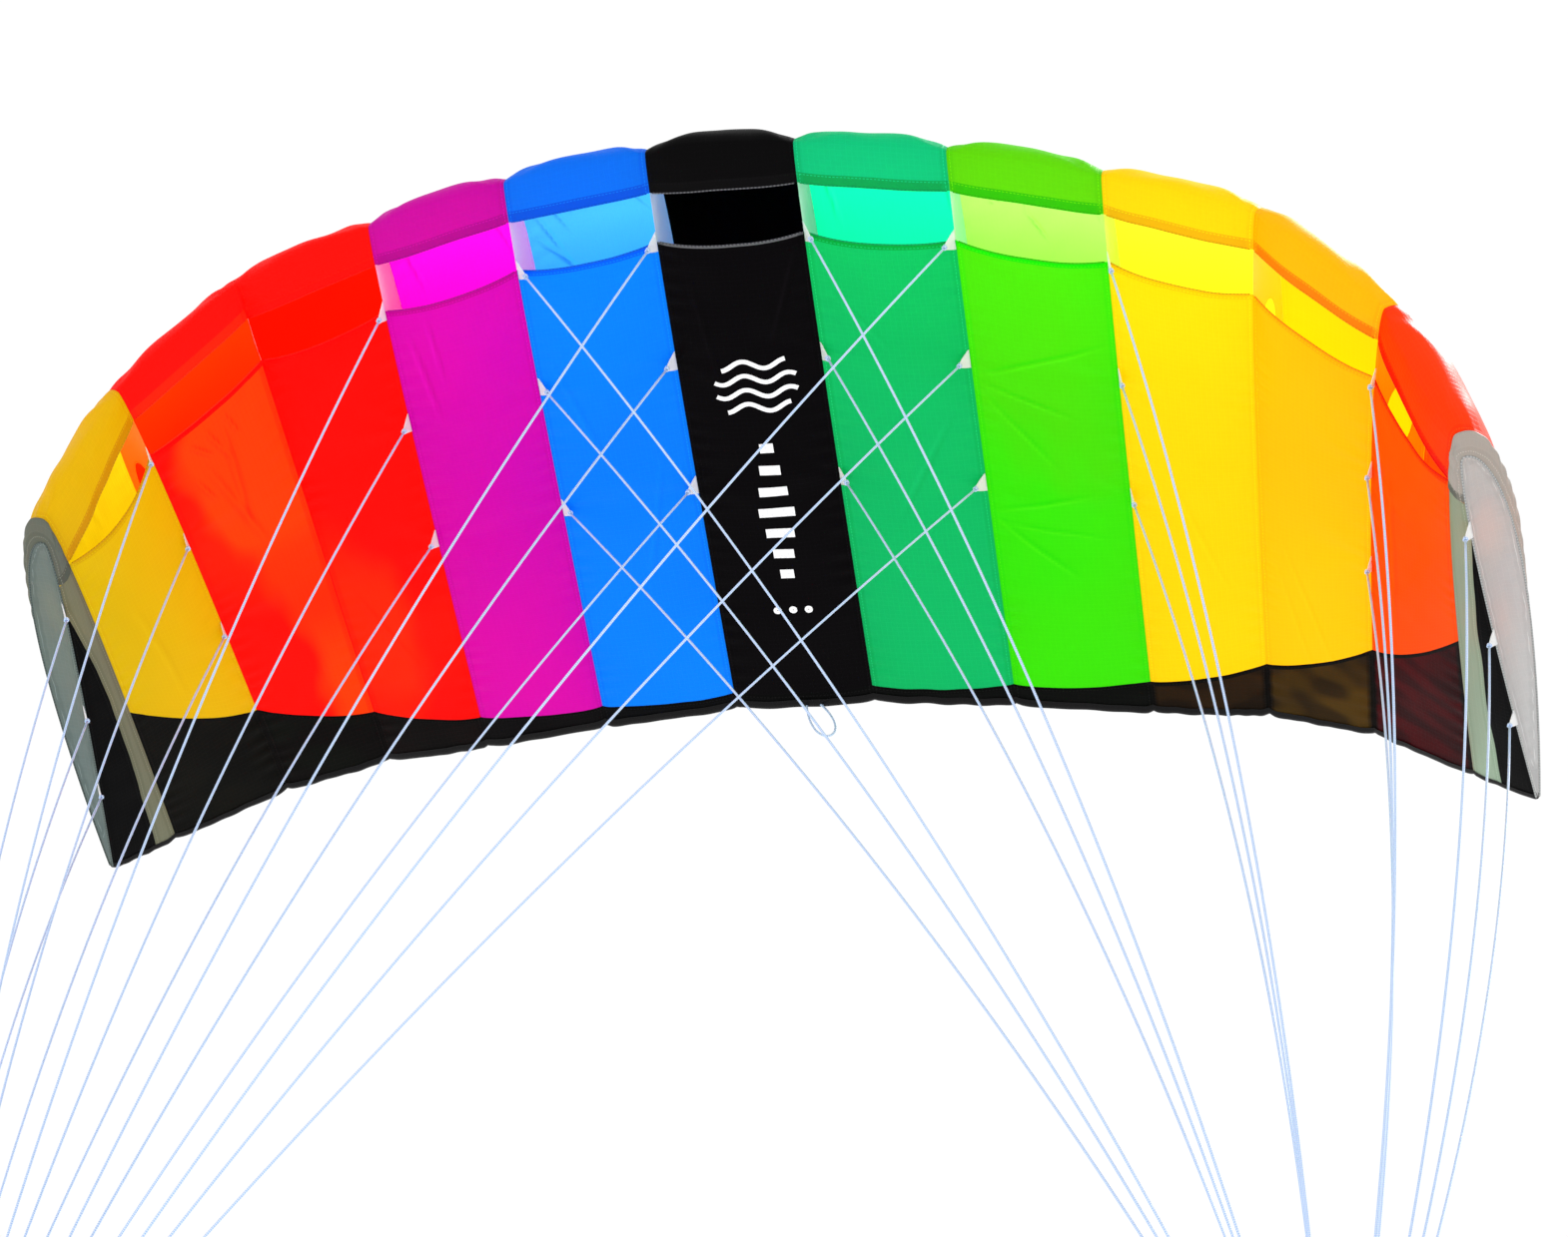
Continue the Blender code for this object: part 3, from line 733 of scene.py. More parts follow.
def joined(name, objs, material=None):
    bm = bmesh.new()
    for o in objs:
        o.data.transform(o.matrix_world)
        bm.from_mesh(o.data)
    mesh = bpy.data.meshes.new(name)
    bm.to_mesh(mesh)
    bm.free()
    obj = bpy.data.objects.new(name, mesh)
    scene.collection.objects.link(obj)
    for m in ([material] if material else []):
        mesh.materials.append(m)
    for o in objs:
        bpy.data.objects.remove(o, do_unlink=True)
    return obj


for index, spots in hitches.items():
    parts = []
    for top, pull, letter in spots:
        side_way = unit(np.cross(pull, ribs[index].fwd))
        for k, (away, lean) in enumerate(((0.0002, 0.30), (0.0019, -0.25))):
            t = np.linspace(0, 2 * math.pi, 18, endpoint=False)
            a, b = side_way, ribs[index].fwd
            ring = (top - pull * 0.0026 + pull * away
                    + 0.00175 * (np.cos(t)[:, None] * a + np.sin(t)[:, None] * b)
                    + pull * (lean * 0.0012 * np.cos(t))[:, None])
            parts.append(tube(f"h_{index}_{letter}_{k}", ring, 0.0008, LINE, sides=6, closed=True))
    hitch = joined(f"tab_hitches_{index:02d}", parts, LINE)
    for f in hitch.data.polygons:
        f.use_smooth = True
    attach(hitch, tip_body(ribs[index]))

# --------------------------------------------------------------------------
# Colours of the cloth
# --------------------------------------------------------------------------
PANEL = {    # lower panel, its painted light where daylight gathers; nose strip, its hem; the inlet's inside, painted lighter where daylight fills the open cell
    "tip_left": ((140, 142, 120), (152, 148, 118), (122, 130, 122), (100, 108, 100), (150, 150, 130)),
    "yellow_left": ((236, 212, 8), (246, 198, 14), (232, 197, 5), (214, 160, 6), (255, 238, 24)),
    "red_outer": ((252, 12, 0), (255, 84, 2), (252, 14, 2), (252, 44, 2), (255, 56, 2)),
    "red_inner": ((250, 7, 0), (255, 52, 2), (253, 12, 0), (250, 10, 0), (255, 14, 0)),
    "magenta": ((213, 1, 188), (224, 4, 186), (199, 2, 167), (176, 2, 150), (250, 11, 209)),
    "blue": ((3, 153, 250), (10, 112, 252), (6, 125, 234), (6, 96, 216), (65, 176, 251)),
    "black_centre": ((5, 3, 5), (11, 9, 10), (3, 2, 3), (9, 8, 9), (0, 0, 0)),
    "green": ((18, 196, 117), (10, 174, 84), (13, 188, 139), (12, 156, 92), (17, 255, 175)),
    "lime": ((66, 235, 1), (91, 221, 4), (109, 205, 0), (58, 184, 0), (177, 255, 104)),
    "yellow_right": ((253, 221, 4), (255, 214, 4), (254, 209, 1), (226, 176, 4), (254, 246, 40)),
    "amber": ((253, 211, 2), (252, 182, 2), (253, 202, 1), (240, 140, 2), (250, 193, 14)),
    "orange": ((250, 100, 3), (250, 72, 2), (250, 70, 4), (244, 18, 2), (255, 176, 8)),
    "tip_right": ((164, 186, 164), (172, 186, 160), (196, 196, 192), (116, 124, 118), (170, 170, 160)),
}

lower_mats, upper_mats = {}, {}
for k, label in enumerate(LABELS):
    panel, slow, strip, strip_hem, inlet = (linear(*c) for c in PANEL[label])
    black = label == "black_centre"
    # painted highlight: the black panel's lower hem is drawn light grey, for the bright line of light along its
    # fold
    lower_mats[label] = ripstop(f"{label}_lower_cloth", panel, slow, seed=k * 1.3,
                                hem=linear(120, 120, 122) if black else power(panel, 1.6),
                                hem_width=0.0022 if black else 0.0055, light=0.30 if black else 0.5,
                                specular=0.04 if black else 0.08, inside=inlet)
    upper_mats[label] = ripstop(f"{label}_upper_cloth", strip, strip, hem=strip_hem, seed=k * 2.1 + 4,
                                hem_width=0.0100, light=0.30 if black else 0.5,
                                specular=0.06 if black else 0.12, inside=inlet)
rolled_mats = {}
for label in LABELS:
    panel = linear(*PANEL[label][3])
    if label == "black_centre":
        # painted highlight: the black panel's rolled hems are drawn light grey, for the bright line of light along
        # their folded edge
        rolled_mats[label] = rolled("black_rolled_hem_painted_highlight", linear(104, 104, 108), linear(70, 70, 74))
    else:
        rolled_mats[label] = rolled(f"{label}_rolled_hem", panel, scaled(panel, 0.8))
BAND_CLOTH = ripstop("black_band_cloth", linear(11, 10, 10), linear(6, 6, 6), light=0.42, specular=0.06,
                     hem_width=0.0050, tint=True, glow_size=14.0)
BLACK_CLOTH = ripstop("black_cloth", linear(8, 8, 9), linear(12, 11, 10), light=0.35, specular=0.04,
                      hem_width=0.0050)
WHITE_CLOTH = ripstop("white_rib_cloth", linear(240, 240, 240), linear(232, 234, 238), light=0.45,
                      specular=0.2, hem_width=0.002, seam_dark=0.9)
END_CLOTH_L = ripstop("end_rib_cloth_left", linear(118, 134, 132), linear(128, 142, 128), light=0.35)
END_CLOTH_R = ripstop("end_rib_cloth_right", linear(200, 200, 200), linear(186, 184, 186), light=0.35)
TAB_CLOTH = ripstop("tab_cloth", linear(250, 250, 250), linear(240, 242, 246), light=0.35,
                    hem_width=0.0016, seam_dark=0.9)
BINDING = ripstop("black_binding", linear(9, 8, 9), linear(12, 11, 11), light=0.10, specular=0.10,
                  hem_width=0.001)

# --------------------------------------------------------------------------
# Skins
# --------------------------------------------------------------------------
FINE = 1.0
NC = max(12, int(48 * FINE))          # across a cell


def uv_of(cell, a, q, co):
    """Metres across and along, for the weave."""
    rows = co.shape[0]
    width = np.linalg.norm(co[:, -1] - co[:, 0], axis=-1)
    u = (a - 0.5) * width[:, None]
    mid = co[:, co.shape[1] // 2]
    v = np.concatenate([[0.0], np.cumsum(np.linalg.norm(np.diff(mid, axis=0), axis=1))])
    return u + 10.0 + cell * 0.37, np.repeat(v[:, None], co.shape[1], 1) + 10.0, width


def q_between(q0, q1, n):
    """Steps along the section from q0 to q1, of even length on a unit chord."""
    q = np.linspace(q0, q1, 900)
    u, v = section(q)
    s = np.concatenate([[0.0], np.cumsum(np.hypot(np.diff(u), np.diff(v)))])
    return np.interp(np.linspace(0, s[-1], n), s, q)


def upper_shape(cell, a, q, co, out, U, V, width):
    """Folds of an upper skin, in metres along out."""
    w = width[:, None] * np.ones_like(a)
    left_d, right_d = a * w, (1 - a) * w
    x, y = a * w, V - V.min()
    A0 = a
    s = 100 + cell * 17
    d = puckers(left_d, y, s, 0.0007, 0.007, 0.019) + puckers(right_d, y, s + 3, 0.0007, 0.007, 0.021)
    calm = np.sin(math.pi * np.clip(a, 0, 1)) ** 0.8
    d = d + calm * (0.0011 * noise2(x, y, s + 7, 0.11) + 0.0004 * noise2(x, y, s + 8, 0.045))
    # the nose gathers at its corners
    nose_y = y.max()
    for px, start, k in ((0.0, -1.0, 1), (1.0, math.pi + 1.0, 2)):
        d = d + fan(x, y, px * float(w.mean()), nose_y - 0.035, s + 20 + k, 0.0016, 0.030, 7.0, start, 1.2) * calm
    # folds of the upper cloth that show through the inlet, with painted shade and painted highlight beside each
    dark = np.zeros_like(A0)
    wm, scale = float(w.mean()), (ribs[cell].chord + ribs[cell + 1].chord) / 2
    dist = np.where(Q > 0, Q * Q, -0.01) * scale
    for (ax, au), (bx, bu), rise, wide in INSIDE_CREASES.get(cell, []):
        r, k = crease(x, dist, ax * wm, au * scale, bx * wm, bu * scale, rise * 0.001, wide * 0.001)
        d, dark = d + r * calm, dark - k
    return d, dark


INSIDE_CREASES = {   # across, and back from the nose as shares; rise in mm, width in mm
    5: [((0.10, 0.06), (0.30, 0.16), 1.4, 2.2), ((0.06, 0.10), (0.26, 0.22), 1.2, 2.2),
        ((0.22, 0.05), (0.34, 0.13), 1.2, 1.8), ((0.04, 0.15), (0.34, 0.24), 1.2, 2.4),
        ((0.60, 0.06), (0.90, 0.14), 0.8, 2.4)],
    8: [((0.14, 0.05), (0.20, 0.14), 2.0, 2.4), ((0.16, 0.14), (0.30, 0.12), 1.7, 2.0),
        ((0.48, 0.05), (0.42, 0.15), 1.9, 2.2), ((0.83, 0.05), (0.93, 0.15), 1.9, 2.2),
        ((0.42, 0.15), (0.55, 0.20), 0.9, 2.0)],
    4: [((0.08, 0.06), (0.20, 0.20), 0.9, 2.4), ((0.72, 0.05), (0.90, 0.18), 0.8, 2.2)],
    7: [((0.08, 0.05), (0.16, 0.20), 1.1, 2.2), ((0.90, 0.07), (0.96, 0.20), 0.9, 2.0)],
    10: [((0.20, 0.08), (0.46, 0.12), 0.9, 2.4)],
    1: [((0.60, 0.05), (0.70, 0.30), 1.2, 2.4), ((0.40, 0.08), (0.52, 0.30), 1.2, 2.4)],
}

upper_rows = {}
for cell, label in enumerate(LABELS):
    left_h = hem_place(ribs[cell], NOSE_EDGE, TIP_NOSE_EDGE)
    right_h = hem_place(ribs[cell + 1], NOSE_EDGE, TIP_NOSE_EDGE)
    n_up, n_low = int(190 * FINE), int(34 * FINE)
    nc = NC if 0 < cell < 12 else max(10, NC // 2)
    a1 = np.linspace(0, 1, nc)
    top_q = q_between(1.0, 0.0, n_up)
    A, Q = np.meshgrid(a1, top_q)
    arch = {0: 0.0, 12: 0.0, 1: 0.020, 11: 0.010}.get(cell, 0.004)
    ends = -np.sqrt(left_h + (right_h - left_h) * a1 - arch * 4 * a1 * (1 - a1))
    low = np.stack([q_between(0.0, e, n_low + 1)[1:] for e in ends], 1)
    A = np.concatenate([A, np.repeat(a1[None], n_low, 0)])
    Q = np.concatenate([Q, low])
    co, out = skin(cell, A, Q, UPPER_BULGE)
    U, V, width = uv_of(cell, A, Q, co)
    d, dark = upper_shape(cell, A, Q, co, out, U, V, width)
    back = np.clip(V - V.min(), 0, 0.02) / 0.02
    co = co + out * (d * back)[..., None]
    w = width[:, None] * np.ones_like(A)
    seam = np.minimum(A, 1 - A) * w
    mid = co[:, nc // 2]
    hem = np.linalg.norm(co - co[-1][None], axis=-1)
    hem = np.where(Q <= 0.25, hem, 1.0)
    obj = build(f"upper_{label}", co.reshape(-1, 3), grid_quads(*A.shape),
                np.stack([U, V], -1).reshape(-1, 2),
                dict(seam=seam, hem=hem, fold=dark,
                     open=np.clip((0.62 - Q) / 0.25, 0, 1)), upper_mats[label], facing=out)
    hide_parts(f"upper_skin_{label}")
    upper_rows[cell] = obj
    obj["flat_w"], obj["flat_l"] = float(width.mean()), float(V.max() - V.min())

for cell, obj in upper_rows.items():
    if cell in (0, 12):
        side = -1.0 if cell == 0 else 1.0
        rib = ribs[1] if cell == 0 else ribs[12]
        across = unit(ribs[0].nose - ribs[1].nose) if cell == 0 else unit(ribs[13].nose - ribs[12].nose)
        across = across - rib.fwd * (across @ rib.fwd) - rib.up * (across @ rib.up)
        across = unit(across)
        start = rib.at(0.5, 0.0) + across * 0.001
        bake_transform(obj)
    else:
        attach(obj, "root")


def tip_blend(obj, cell):
    rib = ribs[1] if cell == 0 else ribs[12]
    across = unit(ribs[0].nose - ribs[1].nose) if cell == 0 else unit(ribs[13].nose - ribs[12].nose)
    across = unit(across - rib.fwd * (across @ rib.fwd) - rib.up * (across @ rib.up))
    start = rib.at(0.5, 0.0) + across * 0.001
    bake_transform(obj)


def lower_bulge(u, a):
    """The lower skin stands out most at its open front."""
    return 1.0 + 0.45 * np.exp(-((u - 0.14) / 0.10) ** 2)


def soft(x, lo, hi):
    k = np.clip((x - lo) / (hi - lo), 0.0, 1.0)
    return k * k * (3 - 2 * k)


def glow_map(cell, A, t):
    """Where more daylight comes through a panel: 0 to 1."""
    T = np.broadcast_to(t, A.shape)
    wave = 0.10 * noise2(A, T * 2.2, 61 + cell, 0.9) + 0.035 * noise2(A, T * 2.2, 71 + cell, 0.28)
    if cell == 2:
        edge = 0.30 - 0.9 * soft(T, -0.1, 0.25) * 0.10 + 0.42 * soft(T, 0.25, 0.75) + wave
        top = soft(A, edge - 0.12, edge + 0.16)
        return 0.95 * top * (1 - 0.55 * soft(T, 0.35, 0.50) * (1 - soft(T, 0.62, 0.85)))
    if cell == 3:
        edge = 0.55 - 0.50 * soft(T, 0.62, 0.30) + wave
        return 0.9 * (1 - soft(A, edge - 0.22, edge + 0.12)) * soft(T, 0.38, 0.66) * (1 - 0.5 * soft(T, 0.88, 1.0))
    if cell == 8:
        return 0.9 * (1 - soft(T + wave, 0.25, 0.65)) * (1 - 0.4 * soft(A, 0.5, 1.0))
    if cell == 4:
        return 0.8 * soft(T + wave, 0.45, 0.95)
    return np.zeros_like(A)


CREASES = {   # across, along from the front hem, both as shares; rise in mm, width in mm
    8: [((0.02, 0.27), (0.98, 0.17), 1.6, 2.4), ((0.03, 0.28), (0.70, 0.34), 1.3, 2.2),
        ((0.02, 0.56), (0.75, 0.50), 1.4, 2.4), ((0.03, 0.57), (0.60, 0.70), 1.2, 2.6),
        ((0.05, 0.30), (0.55, 0.46), 0.9, 2.4), ((0.04, 0.58), (0.85, 0.60), 0.9, 2.2)],
    9: [((0.30, 0.42), (0.75, 0.72), 0.5, 2.4)],
    10: [((0.15, 0.50), (0.70, 0.86), 0.6, 2.6), ((0.10, 0.56), (0.50, 0.90), 0.5, 2.4)],
    5: [((0.12, 0.18), (0.44, 0.46), 0.5, 3.0), ((0.80, 0.42), (0.52, 0.72), 0.5, 3.0)],
    7: [((0.10, 0.10), (0.52, 0.24), 0.5, 2.6), ((0.86, 0.34), (0.35, 0.60), 0.5, 3.0)],
    4: [((0.14, 0.05), (0.26, 0.26), 1.2, 3.0), ((0.30, 0.03), (0.34, 0.18), 1.0, 2.6)],
    6: [((0.95, 0.02), (0.68, 0.22), 0.7, 3.0), ((0.18, 0.05), (0.30, 0.30), 0.5, 3.2)],
    2: [((0.35, 0.10), (0.60, 0.38), 0.8, 4.0), ((0.62, 0.04), (0.50, 0.30), 0.8, 4.0),
        ((0.30, 0.04), (0.46, 0.10), 1.2, 2.6), ((0.46, 0.03), (0.58, 0.13), 1.2, 2.6),
        ((0.66, 0.03), (0.72, 0.10), 1.0, 2.2), ((0.24, 0.12), (0.34, 0.20), 1.0, 2.6)],
    3: [((0.10, 0.55), (0.55, 0.80), 0.6, 4.0)],
    1: [((0.30, 0.22), (0.55, 0.60), 0.5, 4.0)],
    11: [((0.25, 0.15), (0.35, 0.70), 0.6, 4.0)],
}


def lower_shape(cell, A, width, y, length):
    """Folds of a lower skin: rise along its outward side, and the painted shade and painted highlight of sharp
    folds.
    """
    w = width[:, None] * np.ones_like(A)
    x = A * w
    s = 400 + cell * 23
    d = puckers(x, y, s, 0.0009, 0.006, 0.017) + puckers(w - x, y, s + 3, 0.0009, 0.006, 0.019)
    calm = np.sin(math.pi * np.clip(A, 0, 1)) ** 0.8
    d = d + calm * (0.0010 * noise2(x, y, s + 7, 0.12) + 0.0003 * noise2(x, y, s + 8, 0.05))
    dark = np.zeros_like(A)
    wm = float(w.mean())
    # tension from the tabs on each side
    for edge, rib in ((0.0, ribs[cell]), (1.0, ribs[cell + 1])):
        if rib.index in BRIDLED and 1 <= rib.index <= 12:
            for m, u in enumerate(TAB_AT):
                py = (u - LOWER_FRONT) / (1 - LOWER_FRONT) * (rib.chord * (1 - LOWER_FRONT))
                start = 0.0 if edge == 0.0 else math.pi
                d = d + calm * fan(x, y, edge * wm, py, s + 31 * m + int(edge), 0.0011, 0.026, 6.0, start, 1.3)
        else:
            start = 0.9 if edge == 0.0 else math.pi - 0.9
            d = d + calm * fan(x, y, edge * wm, 0.0, s + 77 + int(edge), 0.0010, 0.030, 6.0, start, 1.0)
    for (ax, ay), (bx, by), rise, wide in CREASES.get(cell, []):
        r, k = crease(x, y, ax * wm, ay * length, bx * wm, by * length, rise * 0.001, wide * 0.001)
        d, dark = d + r * calm, dark + k * min(1.0, rise)
    return d, dark


def lower_front(cell, a):
    f = (hem_place(ribs[cell], LOWER_FRONT, TIP_LOWER_FRONT) * (1 - a)
         + hem_place(ribs[cell + 1], LOWER_FRONT, TIP_LOWER_FRONT) * a)
    return f + {1: 0.030, 11: 0.020, 2: 0.004}.get(cell, 0.008) * 4 * a * (1 - a)


def band_line(cell, a):
    """Where the coloured cloth ends and the black band begins, curved between ribs."""
    line = band_start(ribs[cell]) * (1 - a) + band_start(ribs[cell + 1]) * a
    steep = abs(band_start(ribs[cell]) - band_start(ribs[cell + 1]))
    return line + (0.13 * steep + 0.004) * 4 * a * (1 - a)


lower_cache = {}
for cell in range(1, CELLS - 1):
    label = LABELS[cell]
    a1 = np.linspace(0, 1, NC)
    nr = int(190 * FINE)
    t = np.linspace(0, 1, nr)[:, None]
    front, backl = lower_front(cell, a1)[None], band_line(cell, a1)[None]
    UU = front + (backl - front) * t
    A = np.repeat(a1[None], nr, 0)
    Q = -np.sqrt(UU)
    co, out = skin(cell, A, Q, LOWER_BULGE, front=lower_bulge(UU, A))
    U, V, width = uv_of(cell, A, Q, co)
    chord = (ribs[cell].chord + ribs[cell + 1].chord) / 2
    y = (UU - LOWER_FRONT) * chord
    length = (1 - LOWER_FRONT) * chord
    d, dark = lower_shape(cell, A, width, y, length)
    fade = np.clip((1.0 - UU) / 0.05, 0, 1)
    co = co + out * (d * fade)[..., None]
    w = width[:, None] * np.ones_like(A)
    hem = np.linalg.norm(co - co[0][None], axis=-1)
    obj = build(f"lower_{label}", co.reshape(-1, 3), grid_quads(*A.shape),
                np.stack([U, V], -1).reshape(-1, 2),
                dict(seam=np.minimum(A, 1 - A) * w, hem=hem, fold=dark,
                     glow=glow_map(cell, A, t),
                     open=np.clip((0.75 - UU) / 0.25, 0, 1)), lower_mats[label], facing=out)
    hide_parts(f"lower_skin_{label}")
    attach(obj, "root")
    lower_cache[cell] = (UU, co, out)

# the black band, one length through the eleven inner cells
rows, attrs_seam, attrs_hem, uvs = [], [], [], []
nb = int(46 * FINE)
cols_co, cols_uv, cols_seam, cols_hem, cols_tint, cols_out = [], [], [], [], [], []
# painted light: the band's inner and outer colours under each cell; the brown and dark-red ones are daylight
# through the upper skin above, painted in
BAND_TINT_AND_PAINTED_LIGHT = {1: ((13, 13, 9), (9, 10, 8)), 2: ((8, 15, 9), (8, 9, 8)), 3: ((12, 9, 8), (7, 8, 7)),
             9: ((46, 32, 16), (32, 22, 12)), 10: ((72, 56, 18), (46, 35, 16)), 11: ((66, 4, 13), (46, 3, 10))}
for cell in range(1, CELLS - 1):
    a1 = np.linspace(0, 1, NC)
    if cell > 1:
        a1 = a1[1:]
    t = np.linspace(0, 1, nb)[:, None]
    start = band_line(cell, a1)[None]
    UU = start + (1.0 - start) * t
    A = np.repeat(a1[None], nb, 0)
    co, out = skin(cell, A, -np.sqrt(UU), LOWER_BULGE, front=lower_bulge(UU, A))
    w = cell_width(cell, -np.sqrt(UU[:, 0]))[:, None] * np.ones_like(A)
    chord = (ribs[cell].chord + ribs[cell + 1].chord) / 2
    y = (UU - LOWER_FRONT) * chord
    d, _ = lower_shape(cell, A, w[:, 0], y, (1 - LOWER_FRONT) * chord)
    fade = np.clip((1.0 - UU) / 0.05, 0, 1)
    co = co + out * (d * fade)[..., None]
    inner, outer = (np.array(linear(*c)) for c in BAND_TINT_AND_PAINTED_LIGHT.get(cell, ((8, 8, 8), (6, 6, 6))))
    # patches of that painted light, in blocks across the band
    painted_light_patch = soft(noise2(A * 0.7, y * 11.0, 810 + cell, 0.42), -0.55, 0.50)[..., None]
    tint = outer + (inner - outer) * painted_light_patch
    rim = (UU - start) * chord
    sides = np.minimum(A, 1 - A) * w
    # painted shadow: the ribs darken the band's painted light along each seam, most under cells 9 to 11, and it
    # fades to black along the back edge
    painted_rib_shadow = (1 - soft(sides, 0.0032, 0.0052)) * (1.0 if cell in (9, 10, 11) else 0.4)
    painted_band_shade = np.maximum(painted_rib_shadow, 1 - soft(rim[-1][None] - rim, 0.004, 0.007))[..., None]
    tint = tint * (1 - 0.92 * painted_band_shade)
    cols_tint.append(np.concatenate([tint, np.ones(A.shape + (1,))], -1))
    cols_out.append(out)
    cols_co.append(co)
    cols_uv.append(np.stack([(A - 0.5) * w + cell * 0.135, y + 10.0], -1))
    cols_seam.append(np.minimum(A, 1 - A) * w)
    cols_hem.append((UU - start) * chord)
co = np.concatenate(cols_co, 1)
obj = build("black_band", co.reshape(-1, 3), grid_quads(co.shape[0], co.shape[1]),
            np.concatenate(cols_uv, 1).reshape(-1, 2),
            dict(seam=np.concatenate(cols_seam, 1), hem=np.concatenate(cols_hem, 1),
                 tint=np.concatenate(cols_tint, 1), fold=np.zeros(co.shape[:2])), BAND_CLOTH,
            facing=np.concatenate(cols_out, 1))
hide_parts("trailing_edge_band")
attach(obj, "root")


# tip cells: a grey strip beside the outer seam, a black wedge along the tip
def wedge_edge(u, cell):
    low, power_of = (0.32, 4.4) if cell == 0 else (0.46, 2.4)
    return low + (1 - low) * np.maximum(0.0, (1.0 - u) / 0.8) ** power_of


for cell, side in ((0, "left"), (CELLS - 1, "right")):
    label = LABELS[cell]
    nr = int(150 * FINE)
    u1 = TIP_LOWER_FRONT + (1.0 - TIP_LOWER_FRONT) * np.linspace(0, 1, nr)
    edge = np.where(u1 > 0.20, np.minimum(1.0, wedge_edge(u1, cell)), 1.0)
    for name, node, lo_s, hi_s, mat, u0 in (
            (f"grey_strip_{side}", f"lower_skin_tip_{side}", np.zeros(nr), edge, lower_mats[label], 0.0),
            (f"black_wedge_{side}", f"tip_wedge_{side}", edge, np.ones(nr), BLACK_CLOTH, 0.215)):
        keep = u1 >= u0
        uu, lo_k, hi_k = u1[keep], lo_s[keep], hi_s[keep]
        nn = max(10, NC // 2)
        share = lo_k[:, None] + (hi_k - lo_k)[:, None] * np.linspace(0, 1, nn)[None]
        A = 1.0 - share if cell == 0 else share
        UU = np.repeat(uu[:, None], nn, 1)
        co, out = skin(cell, A, -np.sqrt(UU), LOWER_BULGE)
        w = cell_width(cell, -np.sqrt(uu))[:, None] * np.ones_like(A)
        chord = (ribs[cell].chord + ribs[cell + 1].chord) / 2
        y = (UU - TIP_LOWER_FRONT) * chord
        d = np.sin(math.pi * A) * 0.0006 * noise2(A * w, y, 900 + cell, 0.06)
        co = co + out * d[..., None]
        local = np.minimum(share - lo_k[:, None], hi_k[:, None] - share) * w
        obj = build(name, co.reshape(-1, 3), grid_quads(*A.shape, flip=cell == 0),
                    np.stack([A * w + 10, y + 10], -1).reshape(-1, 2),
                    dict(seam=local, hem=np.full(A.shape, 1.0), fold=np.zeros_like(A)), mat, facing=out)
        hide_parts(node)
        tip_blend(obj, cell)


# --------------------------------------------------------------------------
# Ribs, cut with their air holes
# --------------------------------------------------------------------------
def inside_poly(pts, poly):
    x, y = pts[:, 0], pts[:, 1]
    inside = np.zeros(len(pts), bool)
    n = len(poly)
    for i in range(n):
        (x0, y0), (x1, y1) = poly[i], poly[(i + 1) % n]
        cross = ((y0 > y) != (y1 > y)) & (x < (x1 - x0) * (y - y0) / (y1 - y0 + 1e-15) + x0)
        inside ^= cross
    return inside


def flat_cut(outline, holes, step):
    """Triangles of a flat piece with holes, and its points."""
    verts = [tuple(p) for p in outline]
    edges = [(i, (i + 1) % len(outline)) for i in range(len(outline))]
    for hole in holes:
        base = len(verts)
        verts += [tuple(p) for p in hole]
        edges += [(base + i, base + (i + 1) % len(hole)) for i in range(len(hole))]
    lo, hi = outline.min(0), outline.max(0)
    gx, gy = np.meshgrid(np.arange(lo[0], hi[0], step), np.arange(lo[1], hi[1], step))
    inner = np.stack([gx.ravel(), gy.ravel()], -1)
    ok = inside_poly(inner, outline)
    border = np.concatenate([outline] + list(holes))
    for hole in holes:
        ok &= ~inside_poly(inner, hole)
    inner = inner[ok]
    if len(inner):
        gap = np.array([np.min(np.sum((border - p) ** 2, 1)) for p in inner])
        inner = inner[gap > (step * 0.55) ** 2]
    verts += [tuple(p) for p in inner]
    pts, _, faces, _, _, _ = delaunay_2d_cdt([Vector(v) for v in verts], edges, [], 0, 1e-7)
    pts = np.array([tuple(p) for p in pts])
    tri = np.array([f for f in faces if len(f) == 3])
    mid = pts[tri].mean(1)
    ok = inside_poly(mid, outline)
    for hole in holes:
        ok &= ~inside_poly(mid, hole)
    return pts, tri[ok], border


# painted light: white rib cloth drawn in the colour of the daylight that comes through the coloured cells beside
# each of these ribs
RIB_PAINTED_LIGHT = {1: (206, 196, 150), 2: (250, 176, 96), 3: (238, 206, 196), 9: (246, 240, 150),
            10: (252, 232, 120), 11: (255, 176, 20), 12: (196, 196, 180)}

